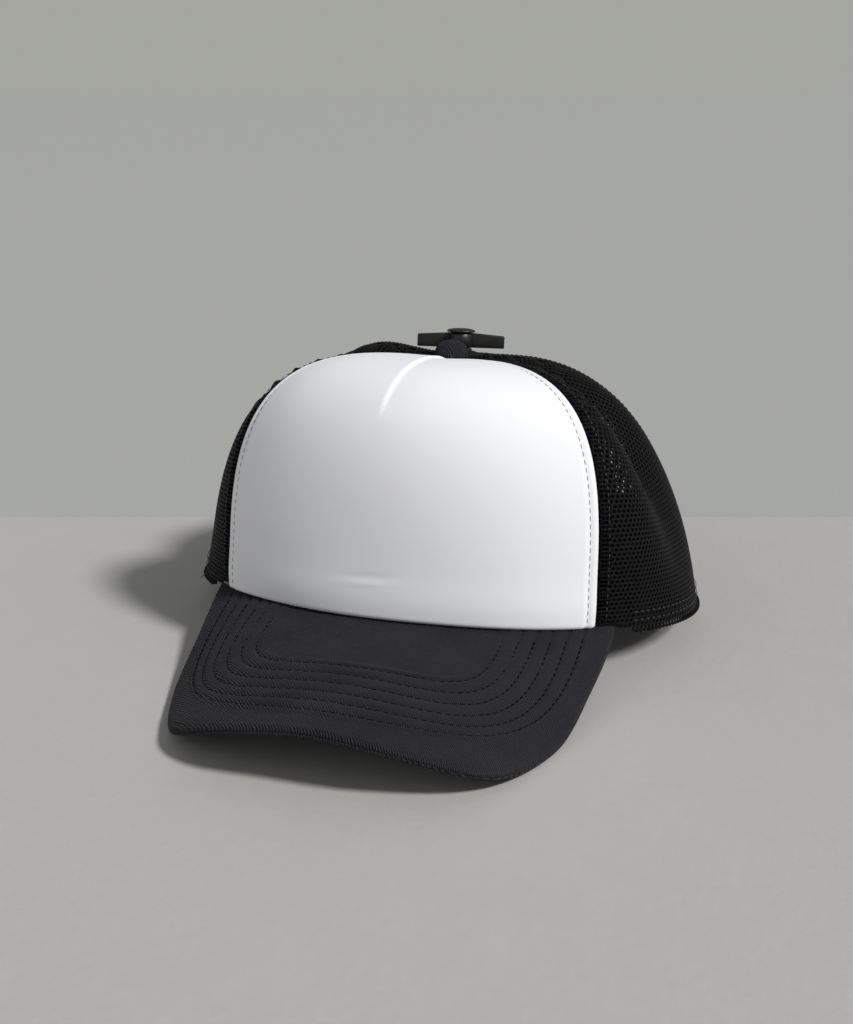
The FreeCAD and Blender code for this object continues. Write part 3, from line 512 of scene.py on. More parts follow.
@dataclass(frozen=True)
class ClothFinish:
    """A woven or knitted cloth that follows the piece's flat coordinates."""

    name: str
    colour: tuple
    thread: float
    weave: Weave
    roughness: float = 0.8
    relief: float = 0.12 * MM
    # shade: strength of the painted shade in the low places between the threads.
    shade: float = 0.35
    mottle: float = 0.25
    sheen: float = 0.3
    gloss: float = 0.25

    def material(self) -> bpy.types.Material:
        """Builds the material once and returns it."""
        if self.name in bpy.data.materials:
            return bpy.data.materials[self.name]
        material, nodes, mottle = start_material(self.name, self.colour, self.mottle, CLOTH_GRAIN)
        links = material.node_tree.links
        weave = nodes.add("Group", {}, node_tree=weave_group(self.weave))
        links.new(nodes.add("UVMap", uv_map="flat").outputs[0], weave.inputs["Vector"])
        weave.inputs["Threads"].default_value = 1 / self.thread
        thread, grain = weave.outputs[0], mottle.outputs["Grain"]
        # Painted shade: the colour is darkened where the thread height is low, between the threads,
        # by the shade amount.
        depth = nodes.math("MULTIPLY", nodes.math("SUBTRACT", thread, 0.5), self.shade)
        tinted = nodes.add("VectorMath", {0: mottle.outputs["Colour"]}, operation="SCALE")
        links.new(nodes.math("ADD", depth, 1.0), tinted.inputs["Scale"])
        relief = nodes.math("ADD", thread, nodes.math("MULTIPLY", grain, 0.5))
        raised = nodes.add("Bump", {"Height": relief, "Distance": self.relief, "Strength": 1.0})
        rough = nodes.math("ADD", nodes.math("MULTIPLY", grain, 0.12), self.roughness - 0.06)
        sockets = {"Base Color": tinted.outputs[0], "Roughness": rough, "Normal": raised.outputs[0]}
        values = {
            "Sheen Weight": self.sheen, "Sheen Roughness": 0.4, "Specular IOR Level": self.gloss
        }
        return end_material(material, sockets, values)


@dataclass(frozen=True)
class SolidFinish:
    """Moulded plastic, foam, thread or metal, patterned on Object coordinates."""

    name: str
    colour: tuple
    roughness: float
    metallic: float = 0.0
    grain: float = 1500.0
    relief: float = 0.05 * MM
    mottle: float = 0.15
    wear: float = 0.0
    gloss: float = 0.5

    def material(self) -> bpy.types.Material:
        """Builds the material once and returns it."""
        if self.name in bpy.data.materials:
            return bpy.data.materials[self.name]
        material, nodes, mottle = start_material(self.name, self.colour, self.mottle, self.grain)
        colour, grain = mottle.outputs["Colour"], mottle.outputs["Grain"]
        if self.wear:
            geometry = nodes.add("NewGeometry")
            edge = nodes.add("MapRange", {0: geometry.outputs["Pointiness"], 1: 0.5, 2: 0.58})
            amount = nodes.math("MULTIPLY", edge.outputs[0], self.wear)
            pale = (0.08, 0.08, 0.08, 1.0)
            colour = nodes.add("Mix", {0: amount, 6: colour, 7: pale}, data_type="RGBA").outputs[2]
        raised = nodes.add("Bump", {"Height": grain, "Distance": self.relief})
        rough = nodes.math("ADD", nodes.math("MULTIPLY", grain, 0.2), self.roughness - 0.1)
        sockets = {"Base Color": colour, "Roughness": rough, "Normal": raised.outputs[0]}
        values = {"Metallic": self.metallic, "Specular IOR Level": self.gloss}
        return end_material(material, sockets, values)


WHITE_FACE = ClothFinish(
    "white_face", (0.655, 0.68, 0.735), 0.7 * MM, Weave.KNIT,
    roughness=0.75, relief=0.2 * MM, shade=0.13, mottle=0.16, sheen=0.1,
)
NET_YARN = ClothFinish(
    "net_yarn", (0.0035, 0.0035, 0.0038), 0.35 * MM, Weave.PLAIN,
    roughness=0.5, relief=0.05 * MM, shade=0.4, mottle=0.3, sheen=0.0, gloss=0.13,
)
TAPE = ClothFinish(
    "black_tape_cloth", (0.006, 0.006, 0.0064), 0.6 * MM, Weave.PLAIN,
    roughness=0.7, relief=0.1 * MM, shade=0.5, mottle=0.3, sheen=0.04,
)
TWILL = ClothFinish(
    "charcoal_twill_cloth", (0.0185, 0.0178, 0.0215), 1.0 * MM, Weave.TWILL,
    roughness=0.85, relief=0.3 * MM, shade=1.4, mottle=1.1, sheen=0.03,
)
BAND = ClothFinish(
    "band_cloth", (0.009, 0.009, 0.0095), 0.7 * MM, Weave.TWILL,
    roughness=0.85, relief=0.1 * MM, shade=0.6, mottle=0.3, sheen=0.05,
)
THREAD = {"grain": 4000.0, "relief": 0.08 * MM}
GREY_THREAD = SolidFinish("grey_thread", (0.2, 0.205, 0.22), 0.7, mottle=0.5, **THREAD)
# The net thread is lighter than the black net: partly the thread's own dark grey, partly a painted
# highlight that lets the stitch rows show as light dots.
NET_THREAD = SolidFinish("net_thread", (0.03, 0.03, 0.032), 0.45, mottle=0.6, **THREAD)
DARK_THREAD = SolidFinish(
    "dark_thread", (0.0035, 0.003, 0.004), 0.8, mottle=0.5, gloss=0.05, **THREAD
)
FOAM = SolidFinish(
    "foam_white", (0.74, 0.73, 0.70), 0.95, grain=2200.0, relief=0.5 * MM, mottle=0.5
)
BLACK_PLASTIC = SolidFinish(
    "black_plastic_moulding", (0.006, 0.006, 0.0065), 0.4,
    grain=2600.0, relief=0.03 * MM, mottle=0.3, wear=0.12,
)
FLOOR_PAINT = SolidFinish(
    "floor_paint", (0.50, 0.488, 0.462), 0.75, grain=260.0, relief=0.12 * MM, mottle=0.05
)
BOARD = SolidFinish("board_plastic", (0.05, 0.05, 0.052), 0.6)
STEEL = SolidFinish(
    "button_steel", (0.5, 0.5, 0.51), 0.35, metallic=1.0, grain=1800.0, relief=0.02 * MM, mottle=0.2
)


# ------------------------------------------------------------------ mesh helpers
def mapped_grid(columns: int, rows: int, place: Place, flat: Place) -> bmesh.types.BMesh:
    """A sheet with flat cloth coordinates, laid out by a function.

    Args:
        columns: number of faces across.
        rows: number of faces along.
        place: gives a point for two shares, each from -1 to 1.
        flat: gives the cloth coordinates, in metres, for the same shares.

    Returns:
        The sheet.
    """
    sheet = bmesh.new()
    bmesh.ops.create_grid(sheet, x_segments=columns, y_segments=rows, size=1.0)
    settle(sheet, place, flat)
    return sheet


def settle(sheet: bmesh.types.BMesh, place: Place, flat: Place) -> None:
    """Writes a flat sheet's cloth coordinates, then moves its points into place."""
    layer = sheet.loops.layers.uv.new("flat")
    for face in sheet.faces:
        for loop in face.loops:
            loop[layer].uv = flat(loop.vert.co.x, loop.vert.co.y)[:2]
    for vertex in sheet.verts:
        vertex.co = place(vertex.co.x, vertex.co.y)


@dataclass
class Piece:
    """One finished object of the visual model."""

    name: str
    mesh: bmesh.types.BMesh
    finish: ClothFinish | SolidFinish
    slot: str
    nodes: tuple = ()
    body: str = "crown"
    thickness: float = 0.0
    side: float = -1.0

    def finished(self) -> bpy.types.Object:
        """Makes the object, dresses it and ties it to its body."""
        for vertex in self.mesh.verts:
            vertex.co = to_row(vertex.co)
        for face in self.mesh.faces:
            face.smooth = True
        piece = linked_object(self.name, self.mesh)
        piece.data.materials.append(self.finish.material())
        if self.thickness:
            wall = piece.modifiers.new("wall", "SOLIDIFY")
            wall.thickness = self.thickness
            wall.offset = self.side
            wall.use_even_offset = True
        if self.nodes:
            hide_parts(*self.nodes)
        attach(piece, self.body)
        LOG.info("%s: %d faces", self.name, len(piece.data.polygons))
        return piece


def linked_object(name: str, mesh: bmesh.types.BMesh) -> bpy.types.Object:
    """Turns an edit mesh into an object in the scene, and frees the mesh."""
    data = bpy.data.meshes.new(name)
    mesh.to_mesh(data)
    mesh.free()
    made = bpy.data.objects.new(name, data)
    bpy.context.scene.collection.objects.link(made)
    return made


@dataclass(frozen=True)
class Stitch:
    """One kind of raised stitch: a flattened bead of thread, a little sunk in the cloth."""

    pitch: float
    length: float
    radius: float
    seat: float = 0.35
    wide: float = 1.15
    high: float = 0.8

    def bead(self, at: Vector, along: Vector, out: Vector) -> Matrix:
        """Placement and shape of one bead."""
        seat = frame_matrix(at + out * self.radius * self.seat, along, out)
        sizes = (self.length / 2, self.radius * self.wide, self.radius * self.high, 1.0)
        return seat @ Matrix.Diagonal(sizes) @ Matrix.Rotation(math.pi / 2, 4, "Y")


def stitch_row(mesh: bmesh.types.BMesh, line: list, stitch: Stitch) -> None:
    """Lays a row of raised stitches along a line.

    Args:
        mesh: the mesh that takes the stitches.
        line: (point, outward direction) pairs in order.
        stitch: the kind of stitch.
    """
    travelled = 0.0
    due = stitch.pitch / 2
    for (start, out), (end, _) in zip(line, line[1:]):
        step = (end - start).length
        while step > 0 and due <= travelled + step:
            at = start.lerp(end, (due - travelled) / step)
            bead = stitch.bead(at, end - start, out)
            bmesh.ops.create_uvsphere(mesh, u_segments=6, v_segments=4, radius=1.0, matrix=bead)
            due += stitch.pitch
        travelled += step


# ------------------------------------------------------------------ front panel
@dataclass
class FrontPanel:
    """The smooth foam-backed front, with its crown dart, stitched sides and rolled edges."""

    crown: CrownShape = CROWN
    visor: VisorShape = VISOR
    foam_depth: float = 3.6 * MM
    roll: float = 1.7 * MM
    stitch_inset: float = 4.2 * MM
    puff: float = 0.9 * MM
    dart_low: float = 41.0
    top_radius: float = 3.2 * MM
    grid: tuple = (210, 180)
    half_arc: float = 74 * MM
    stitch: Stitch = Stitch(2.8 * MM, 2.0 * MM, 0.17 * MM)
    stitch_steps: int = 120
    stitch_top: float = 84.0
    stitch_dip: float = 0.75 * MM
    stitch_dip_width: float = 1.1 * MM
    base_bulge: float = 0.5 * MM
    base_bulge_width: float = 7 * MM
    dart_span: float = 21.0
    dart_sweep: float = 4.4 * MM
    dart_lip: float = 0.25 * MM
    dart_lip_width: float = 8 * MM
    dart_valley: float = 0.75 * MM
    dart_valley_width: float = 12 * MM
    dart_step: float = 0.8 * MM
    side_bulge: float = 1.7 * MM
    crease_side: float = 6 * MM
    crease_height: float = 12.4 * MM
    crease_gap: float = 2.2 * MM
    crease_tilt: float = 0.06
    uneven: float = 0.5 * MM

    def low(self, angle: float) -> float:
        """Climb of the panel's bottom edge."""
        tucked = 2.0 * MM * self.visor.slope(self.crown.rim(angle).x)
        height = self.visor.half_thickness + 0.1 * MM + tucked * 0.3
        return self.crown.climb_at_height(angle, height)
    def dart(self, across: float, climb: float) -> float:
        """Step of the crown dart, which sweeps aside towards its low end."""
        raised = min(max((climb - self.dart_low) / self.dart_span, 0.0), 1.0)
        fold = across + self.dart_sweep * (1 - raised) ** 1.3
        opened = smooth((climb - self.dart_low + 1) / 5)
        lip = self.dart_lip * math.exp(min(fold, 0.0) / self.dart_lip_width)
        valley = -self.dart_valley * math.exp(-max(fold, 0.0) / self.dart_valley_width)
        return opened * (lip + (valley - lip) * smooth(fold / self.dart_step + 0.5))

    def crease(self, across: float, over: float) -> float:
        """A small crossways crease low on the face, with a dent above it."""
        place = across + self.crease_side
        level = over - self.crease_height - place * self.crease_tilt
        raised = 0.14 * MM * bump(place, 7 * MM) * bump(level, 1.1 * MM)
        dent = 0.16 * MM * bump(place, 8 * MM) * bump(level - self.crease_gap, 1.3 * MM)
        return raised - dent
    def relief(self, angle: float, climb: float, side: float, over: float) -> float:
        """Outward relief of the face: puffed edges, dart, base bulge and soft dents.

        Args:
            angle: oval angle.
            climb: climb on the crown.
            side: distance from the nearer side edge.
            over: distance above the bottom edge.

        Returns:
            Distance out from the crown surface.
        """
        out = -rounded_edge(side, self.roll) - rounded_edge(over, self.roll * 0.9)
        out += self.puff * smooth(side / (self.stitch_inset * 0.9))
        out -= self.stitch_dip * bump(side - self.stitch_inset, self.stitch_dip_width)
        out += self.base_bulge * bump(over - self.base_bulge_width, self.base_bulge_width)
        place = self.crown.outer(angle, climb)
        across = math.radians(angle) * math.hypot(*place.xy)
        out += self.dart(across, climb) + self.crease(across, over)
        out += self.side_bulge * bump(angle + 31, 14) * bump(climb - 47, 13)
        return out + self.uneven * noise.noise(place * 22.0)

    def build(self) -> list[bpy.types.Object]:
        """Makes the face, the foam behind it and the side topstitching."""
        seam = self.crown.front_seam

        def at(across: float, upward: float) -> tuple:
            """Angle, climb and edge distances for two shares."""
            share = (upward + 1) / 2
            rough = across * seam
            low = self.low(rough)
            top = self.crown.climb_at_radius(rough, self.top_radius)
            climb = low + (top - low) * share
            spread = self.crown.spread(seam, climb)
            limit = seam - 0.1 * MM / spread
            angle = across * limit
            side = (1 - abs(across)) * limit * spread
            over = (climb - low) * CLIMB_LENGTH
            return angle, climb, side, over

        def face_place(across: float, upward: float) -> Vector:
            """Puts the face on the crown with its relief."""
            angle, climb, side, over = at(across, upward)
            fade = smooth((88.5 - climb) / 12)
            out = self.relief(angle, climb, side, over) * fade + sag(angle, climb)
            return self.crown.point(angle, climb, -out)

        def flat(across: float, upward: float) -> Vector:
            """Cloth coordinates of the panel."""
            return Vector((across * self.half_arc, upward * self.half_arc, 0))

        def foam_place(across: float, upward: float) -> Vector:
            """Puts the foam's inner side under the face."""
            angle, climb, side, over = at(across * 0.985, upward * 0.99)
            depth = self.foam_depth - rounded_edge(side, 1.5 * MM) - rounded_edge(over, 1.5 * MM)
            depth -= sag(angle, climb) * smooth((90 - climb) / 6)
            return self.crown.point(angle, climb, depth)

        face = Piece(
            "front_face", mapped_grid(*self.grid, face_place, flat), WHITE_FACE, "white_face",
            ("front_face_fabric",), thickness=0.6 * MM,
        )
        foam = Piece(
            "front_foam", mapped_grid(60, 60, foam_place, flat), FOAM, "white_foam",
            ("front_foam_backing",), thickness=2.2 * MM, side=1.0,
        )
        pieces = [face.finished(), foam.finished()]
        thread = bmesh.new()
        for sign in (-1, 1):
            stitch_row(thread, self.stitch_line(sign), self.stitch)
        pieces.append(Piece("front_topstitch", thread, GREY_THREAD, "white_face").finished())
        return pieces

    def stitch_line(self, sign: int) -> list:
        """Points and outward directions up one side, where the panel is stitched down."""
        seam, low = self.crown.front_seam, self.low(self.crown.front_seam)
        line = []
        for step in range(self.stitch_steps + 1):
            climb = low + 1.2 + (self.stitch_top - low) * step / self.stitch_steps
            angle = sign * (seam - self.stitch_inset / self.crown.spread(seam, climb))
            over = (climb - low) * CLIMB_LENGTH
            out = self.relief(angle, climb, self.stitch_inset, over) + sag(angle, climb)
            line.append((self.crown.point(angle, climb, -out), self.crown.normal(angle, climb)))
        return line


# ------------------------------------------------------------------ mesh panels
@dataclass
class NetPanel:
    """One open net panel of the crown, cut from a flat honeycomb net."""

    name: str
    start: float
    end: float
    nodes: tuple
    crown: CrownShape = CROWN
    pitch: float = 1.9 * MM
    yarn: float = 0.34 * MM
    depth: float = 1.2 * MM
    thickness: float = 0.55 * MM
    top_radius: float = 5.0 * MM
    visor_gap: float = 2.4 * MM
    rim_gap: float = 0.3 * MM
    uneven: float = 0.6 * MM
    gather: float = 1.7 * MM
    gather_pitch: float = 4.4 * MM
    gather_fade: float = 5 * MM
    gather_reach: float = 22 * MM

    @property
    def middle(self) -> float:
        """Oval angle of the panel's middle line."""
        return (self.start + self.end) / 2

    @cached_property
    def ladder(self) -> tuple[list, list]:
        """Lengths up the panel's middle line, and the climb at each."""
        lengths, climbs = [0.0], [0.0]
        here = self.crown.outer(self.middle, 0)
        steps = 180
        for step in range(1, steps + 1):
            climb = 90.0 * step / steps
            after = self.crown.outer(self.middle, climb)
            lengths.append(lengths[-1] + (after - here).length)
            climbs.append(climb)
            here = after
        return lengths, climbs

    def climb_at(self, length: float) -> float:
        """The climb at a length up the panel's middle line."""
        lengths, climbs = self.ladder
        index = min(max(bisect.bisect(lengths, length), 1), len(lengths) - 1)
        span = lengths[index] - lengths[index - 1]
        share = (length - lengths[index - 1]) / span
        return climbs[index - 1] + share * (climbs[index] - climbs[index - 1])

    def where(self, across: float, length: float) -> tuple[float, float]:
        """Oval angle and climb of a point of the flat net."""
        climb = self.climb_at(length)
        spread = max(self.crown.spread(self.middle, climb), 0.01 * MM)
        return self.middle + across / spread, climb

    def keeps(self, across: float, length: float) -> bool:
        """Whether a cell of the flat net belongs to the panel."""
        angle, climb = self.where(across, length)
        if not self.start < angle < self.end:
            return False
        if climb > self.crown.climb_at_radius(angle, self.top_radius):
            return False
        point = self.crown.outer(angle, climb)
        visor_end = math.degrees(math.asin(VISOR.half_width / self.crown.half_width))
        turned = min(abs(angle), 360 - abs(angle))
        over_visor = self.visor_gap * (1 - smooth((turned - visor_end) / 8))
        if point.z - self.crown.rim(angle).z < over_visor + self.rim_gap:
            return False
        in_arch = (point.x / ARCH_HALF_WIDTH) ** 2 + (point.z / ARCH_HEIGHT) ** 2 < 1
        return not (in_arch and point.y > 0)

    def wrinkle(self, angle: float, climb: float, length: float) -> float:
        """Gathers across the front seam, and soft unevenness elsewhere."""
        turned = min(abs(angle), 360 - abs(angle))
        from_seam = (turned - self.crown.front_seam) * self.crown.spread(angle, climb)
        place = self.crown.outer(angle, climb)
        out = self.uneven * noise.noise(place * 30.0) + sag(angle, climb)
        if turned < self.crown.side_seam:
            window = smooth((climb - 38) / 14) * smooth((86 - climb) / 8)
            phase = length / self.gather_pitch * math.pi + 1.4 * noise.noise(place * 60.0)
            fade = math.exp(-max(from_seam, 0.0) / self.gather_reach)
            fade *= smooth(from_seam / self.gather_fade)
            out += self.gather * math.sin(phase) * window * fade
        return out

    def build(self) -> bpy.types.Object:
        """Makes the net: a honeycomb of cells, each opened by an inset."""
        lengths = self.ladder[0]
        widest = max(self.crown.spread(self.middle, climb) for climb in (0, 20, 40, 60))
        half = widest * (self.end - self.start) / 2
        row_pitch = self.pitch * math.sqrt(3) / 2
        columns = 2 * int(2 * half / self.pitch)
        rows = int(lengths[-1] / row_pitch) + 1
        net = bmesh.new()
        bmesh.ops.create_grid(net, x_segments=columns, y_segments=rows, size=1.0)
        sides = []
        for edge in net.edges:
            first, second = edge.verts
            if abs(first.co.x - second.co.x) < 1e-6:
                column = round((first.co.x + 1) / 2 * columns)
                row = math.floor((min(first.co.y, second.co.y) + 1) / 2 * rows + 0.5)
                if (column + row) % 2 and 0 < column < columns:
                    sides.append(edge)
        for vertex in net.verts:
            column = round((vertex.co.x + 1) / 2 * columns)
            row = round((vertex.co.y + 1) / 2 * rows)
            lift = self.pitch * math.sqrt(3) / 12 * (1 if (column + row) % 2 == 0 else -1)
            vertex.co = Vector((column * self.pitch / 2 - half, row * row_pitch + lift, 0))
        bmesh.ops.dissolve_edges(net, edges=sides, use_verts=False)
        outside = [face for face in net.faces if not self.keeps(*face.calc_center_median().xy)]
        bmesh.ops.delete(net, geom=outside, context="FACES")
        cells = net.faces[:]
        bmesh.ops.inset_individual(net, faces=cells, thickness=self.yarn, use_even_offset=True)
        bmesh.ops.delete(net, geom=cells, context="FACES_ONLY")

        def place(across: float, length: float) -> Vector:
            """Lays the flat net on the crown."""
            angle, climb = self.where(across, length)
            angle = min(max(angle, self.start - 1.5), self.end + 1.5)
            return self.crown.point(angle, climb, self.depth - self.wrinkle(angle, climb, length))

        settle(net, place, lambda across, length: Vector((across, length, 0)))
        panel = Piece(
            self.name, net, NET_YARN, "black_mesh", self.nodes, thickness=self.thickness
        )
        return panel.finished()


# ------------------------------------------------------------------ seams
@dataclass
class CrownSeams:
    """Tapes inside the seams, raised seams outside, and the doubled net beside the front."""

    front: float = CROWN.front_seam
    side: float = CROWN.side_seam
    tape_width: float = 9 * MM
    tape_depth: float = 2.25 * MM
    ridge_width: float = 3.0 * MM
    ridge_height: float = 0.9 * MM
    double_width: float = 4.2 * MM
    high: float = 86.0
    edge_stitch: Stitch = Stitch(2.4 * MM, 1.5 * MM, 0.2 * MM)
    edge_stitch_offset: float = 3.6 * MM
    rim_stitch: Stitch = Stitch(3.0 * MM, 2.0 * MM, 0.24 * MM)
    rim_rows: tuple = (4.0 * MM, 7.0 * MM)
    loose_stitch: Stitch = Stitch(0.7 * MM, 1.1 * MM, 0.2 * MM)
    loose_end: tuple = ((-77, -51, 6.5), (-79, -53.5, 7.6), (-81.5, -55.5, 7.0), (-83, -57, 5.4))

    def tape(self, name: str, strip: Strip) -> bpy.types.Object:
        """One inner tape, with a softly uneven surface."""

        def place(across: float, upward: float) -> Vector:
            """Lays the tape under the net."""
            angle, climb, _ = strip.at(across, upward)
            ripple = 0.12 * MM * (1 + noise.noise(CROWN.outer(angle, climb) * 300.0))
            return CROWN.point(angle, climb, self.tape_depth + ripple - sag(angle, climb))

        tape = mapped_grid(10, 110, place, strip.flat)
        name_in_view = f"{name}_cloth"
        piece = Piece(name_in_view, tape, TAPE, "black_tape", (name,), thickness=0.4 * MM)
        return piece.finished()

    def ridge(self, name: str, strip: Strip, depth: float) -> bpy.types.Object:
        """One raised, overcast seam on the outside of the net."""

        def place(across: float, upward: float) -> Vector:
            """Rounds the ridge and pinches it at every stitch."""
            angle, climb, _ = strip.at(across, upward)
            pinch = 0.82 + 0.18 * math.cos(upward * 70 * math.pi)
            out = self.ridge_height * pinch * math.cos(across * math.pi / 2) ** 0.7
            return CROWN.point(angle, climb, depth - out - sag(angle, climb))

        ridge = mapped_grid(8, 260, place, strip.flat)
        return Piece(name, ridge, TAPE, "black_tape", thickness=0.3 * MM).finished()

    def build(self) -> list[bpy.types.Object]:
        """Makes every tape, seam ridge and doubled edge with its stitches."""
        pieces = []
        thread = bmesh.new()
        top = CROWN.climb_at_radius(self.side, 20 * MM)
        half_tape, half_ridge = self.tape_width / 2, self.ridge_width / 2
        for name, sign in (("left", 1), ("right", -1)):
            front, side = sign * self.front, sign * self.side
            near, far = sorted((sign * 0.5 * MM, sign * (0.5 * MM + self.tape_width)))
            pieces.append(self.tape(f"front_seam_tape_{name}", Strip(front, near, far, 3.0, top)))
            strip = Strip(side, -half_tape, half_tape, 0.8, top)
            pieces.append(self.tape(f"side_seam_tape_{name}", strip))
            strip = Strip(side, -half_ridge, half_ridge, 0.9, self.high)
            pieces.append(self.ridge(f"side_seam_{name}", strip, 1.1 * MM))
            near, far = sorted((sign * 0.4 * MM, sign * (0.4 * MM + self.double_width)))
            double = Strip(front, near, far, 3.4, self.high)
            pieces.append(self.doubled_edge(f"doubled_net_{name}", double))
            line = double.line(sign * self.edge_stitch_offset, 0.15 * MM)
            stitch_row(thread, line, self.edge_stitch)
            for height in self.rim_rows:
                stitch_row(thread, self.rim_line(sign, height), self.rim_stitch)
        points = [(Vector(point) * MM, Vector((0, 0, 1))) for point in self.loose_end]
        stitch_row(thread, points, self.loose_stitch)
        arch_top = CROWN.climb_at_height(180, 59.5 * MM)
        strip = Strip(180, -half_tape, half_tape, arch_top, top)
        pieces.append(self.tape("back_seam_tape", strip))
        strip = Strip(180, -half_ridge, half_ridge, arch_top, self.high)
        pieces.append(self.ridge("back_seam", strip, 1.1 * MM))
        pieces.append(Piece("net_stitches", thread, NET_THREAD, "black_tape").finished())
        return pieces

    @staticmethod
    def rim_line(sign: int, height: float) -> list:
        """Points and outward directions along one side's rim, at a height."""
        line = []
        for turned in range(54, 154, 2):
            angle = sign * turned
            point = CROWN.point(angle, CROWN.climb_at_height(angle, height), 0.9 * MM)
            line.append((point, CROWN.normal(angle, 4)))
        return line

    def doubled_edge(self, name: str, strip: Strip) -> bpy.types.Object:
        """The net's turned-in edge, as a second open layer on top of the panel."""

        def place(across: float, upward: float) -> Vector:
            """Lays the turned edge on the net."""
            angle, climb, _ = strip.at(across, upward)
            lift = sag(angle, climb) - 0.5 * MM - 0.2 * MM * math.sin(upward * 60)
            return CROWN.point(angle, climb, -lift)

        edge = bmesh.new()
        bmesh.ops.create_grid(edge, x_segments=3, y_segments=96, size=1.0)
        cells = edge.faces[:]
        bmesh.ops.inset_individual(edge, faces=cells, thickness=0.0042, use_even_offset=False)
        bmesh.ops.delete(edge, geom=cells, context="FACES_ONLY")
        settle(edge, place, strip.flat)
        return Piece(name, edge, NET_YARN, "black_mesh", thickness=0.35 * MM).finished()


# ------------------------------------------------------------------ opening and sweatband
@dataclass
class ArchBinding:
    """The cloth binding folded round the arched opening at the back."""

    half_width: float = ARCH_HALF_WIDTH
    height: float = ARCH_HEIGHT
    reach: float = 6.3 * MM
    lip: float = 0.9 * MM
    outer_depth: float = 0.55 * MM
    inner_depth: float = 2.3 * MM
    turned: float = 0.35
    stitch: Stitch = Stitch(3.0 * MM, 2.2 * MM, 0.24 * MM)
    stitch_steps: int = 160

    def on_crown(self, across: float, height: float, depth: float) -> tuple[Vector, Vector]:
        """A point of the crown's back from its width and height, and the way out."""
        angle = 180.0
        level = min(height / CROWN.height, 0.95)
        for _ in range(4):
            power = CROWN.station(angle, CROWN.squareness)
            lean = CROWN.station(angle, CROWN.lean)
            out = (1 - level**power) ** (1 / power) * (1 - lean * level)
            turn = math.asin(min(max(across / (CROWN.half_width * out), -1.0), 1.0))
            angle = 180 - math.degrees(turn)
        climb = CROWN.climb_at_height(angle, height)
        return CROWN.point(angle, climb, depth), CROWN.normal(angle, climb)

    def arch(self, along: float, offset: float, depth: float) -> tuple[Vector, Vector]:
        """A point beside the arch; along goes from -1 at the right to 1 at the left."""
        turn = math.pi / 2 * (1 - along * 0.992)
        across = (self.half_width + offset) * math.cos(turn)
        return self.on_crown(across, max((self.height + offset) * math.sin(turn), 0.5 * MM), depth)

    def profile(self, share: float) -> tuple[float, float]:
        """Offset from the opening's edge and depth, from the outer edge round to the inner."""
        middle = (self.inner_depth + self.outer_depth) / 2
        half = (self.inner_depth - self.outer_depth) / 2
        if abs(share) > self.turned:
            past = (abs(share) - self.turned) / (1 - self.turned)
            offset = past * (self.reach - self.lip) + half - self.lip
            crimp = rounded_edge(self.reach - offset, 0.5 * MM)
            return min(offset, self.reach), middle + math.copysign(half - crimp, share)
        turn = share / self.turned * math.pi / 2
        return half - self.lip - half * math.cos(turn), middle + half * math.sin(turn)

    def build(self) -> list[bpy.types.Object]:
        """Makes the folded binding and its two rows of stitches."""

        def place(across: float, along: float) -> Vector:
            """Folds the binding round the edge, a little unevenly."""
            offset, depth = self.profile(-across)
            point, out = self.arch(along, offset, depth)
            return point + out * 0.16 * MM * noise.noise(point * 260.0)

        def flat(across: float, along: float) -> Vector:
            """Cloth coordinates along the binding."""
            return Vector((across * 8 * MM, along * 78 * MM, 0))

        binding = mapped_grid(26, 190, place, flat)
        cloth = Piece(
            "arch_binding_cloth", binding, TAPE, "black_tape", ("arch_binding",), thickness=0.5 * MM
        )
        pieces = [cloth.finished()]
        thread = bmesh.new()
        for depth, side in ((self.outer_depth, 1), (self.inner_depth, -1)):
            line = []
            for step in range(self.stitch_steps + 1):
                point, out = self.arch(2 * step / self.stitch_steps - 1, 4.4 * MM, depth)
                line.append((point, out * side))
            stitch_row(thread, line, self.stitch)
        pieces.append(Piece("arch_stitches", thread, NET_THREAD, "black_tape").finished())
        return pieces


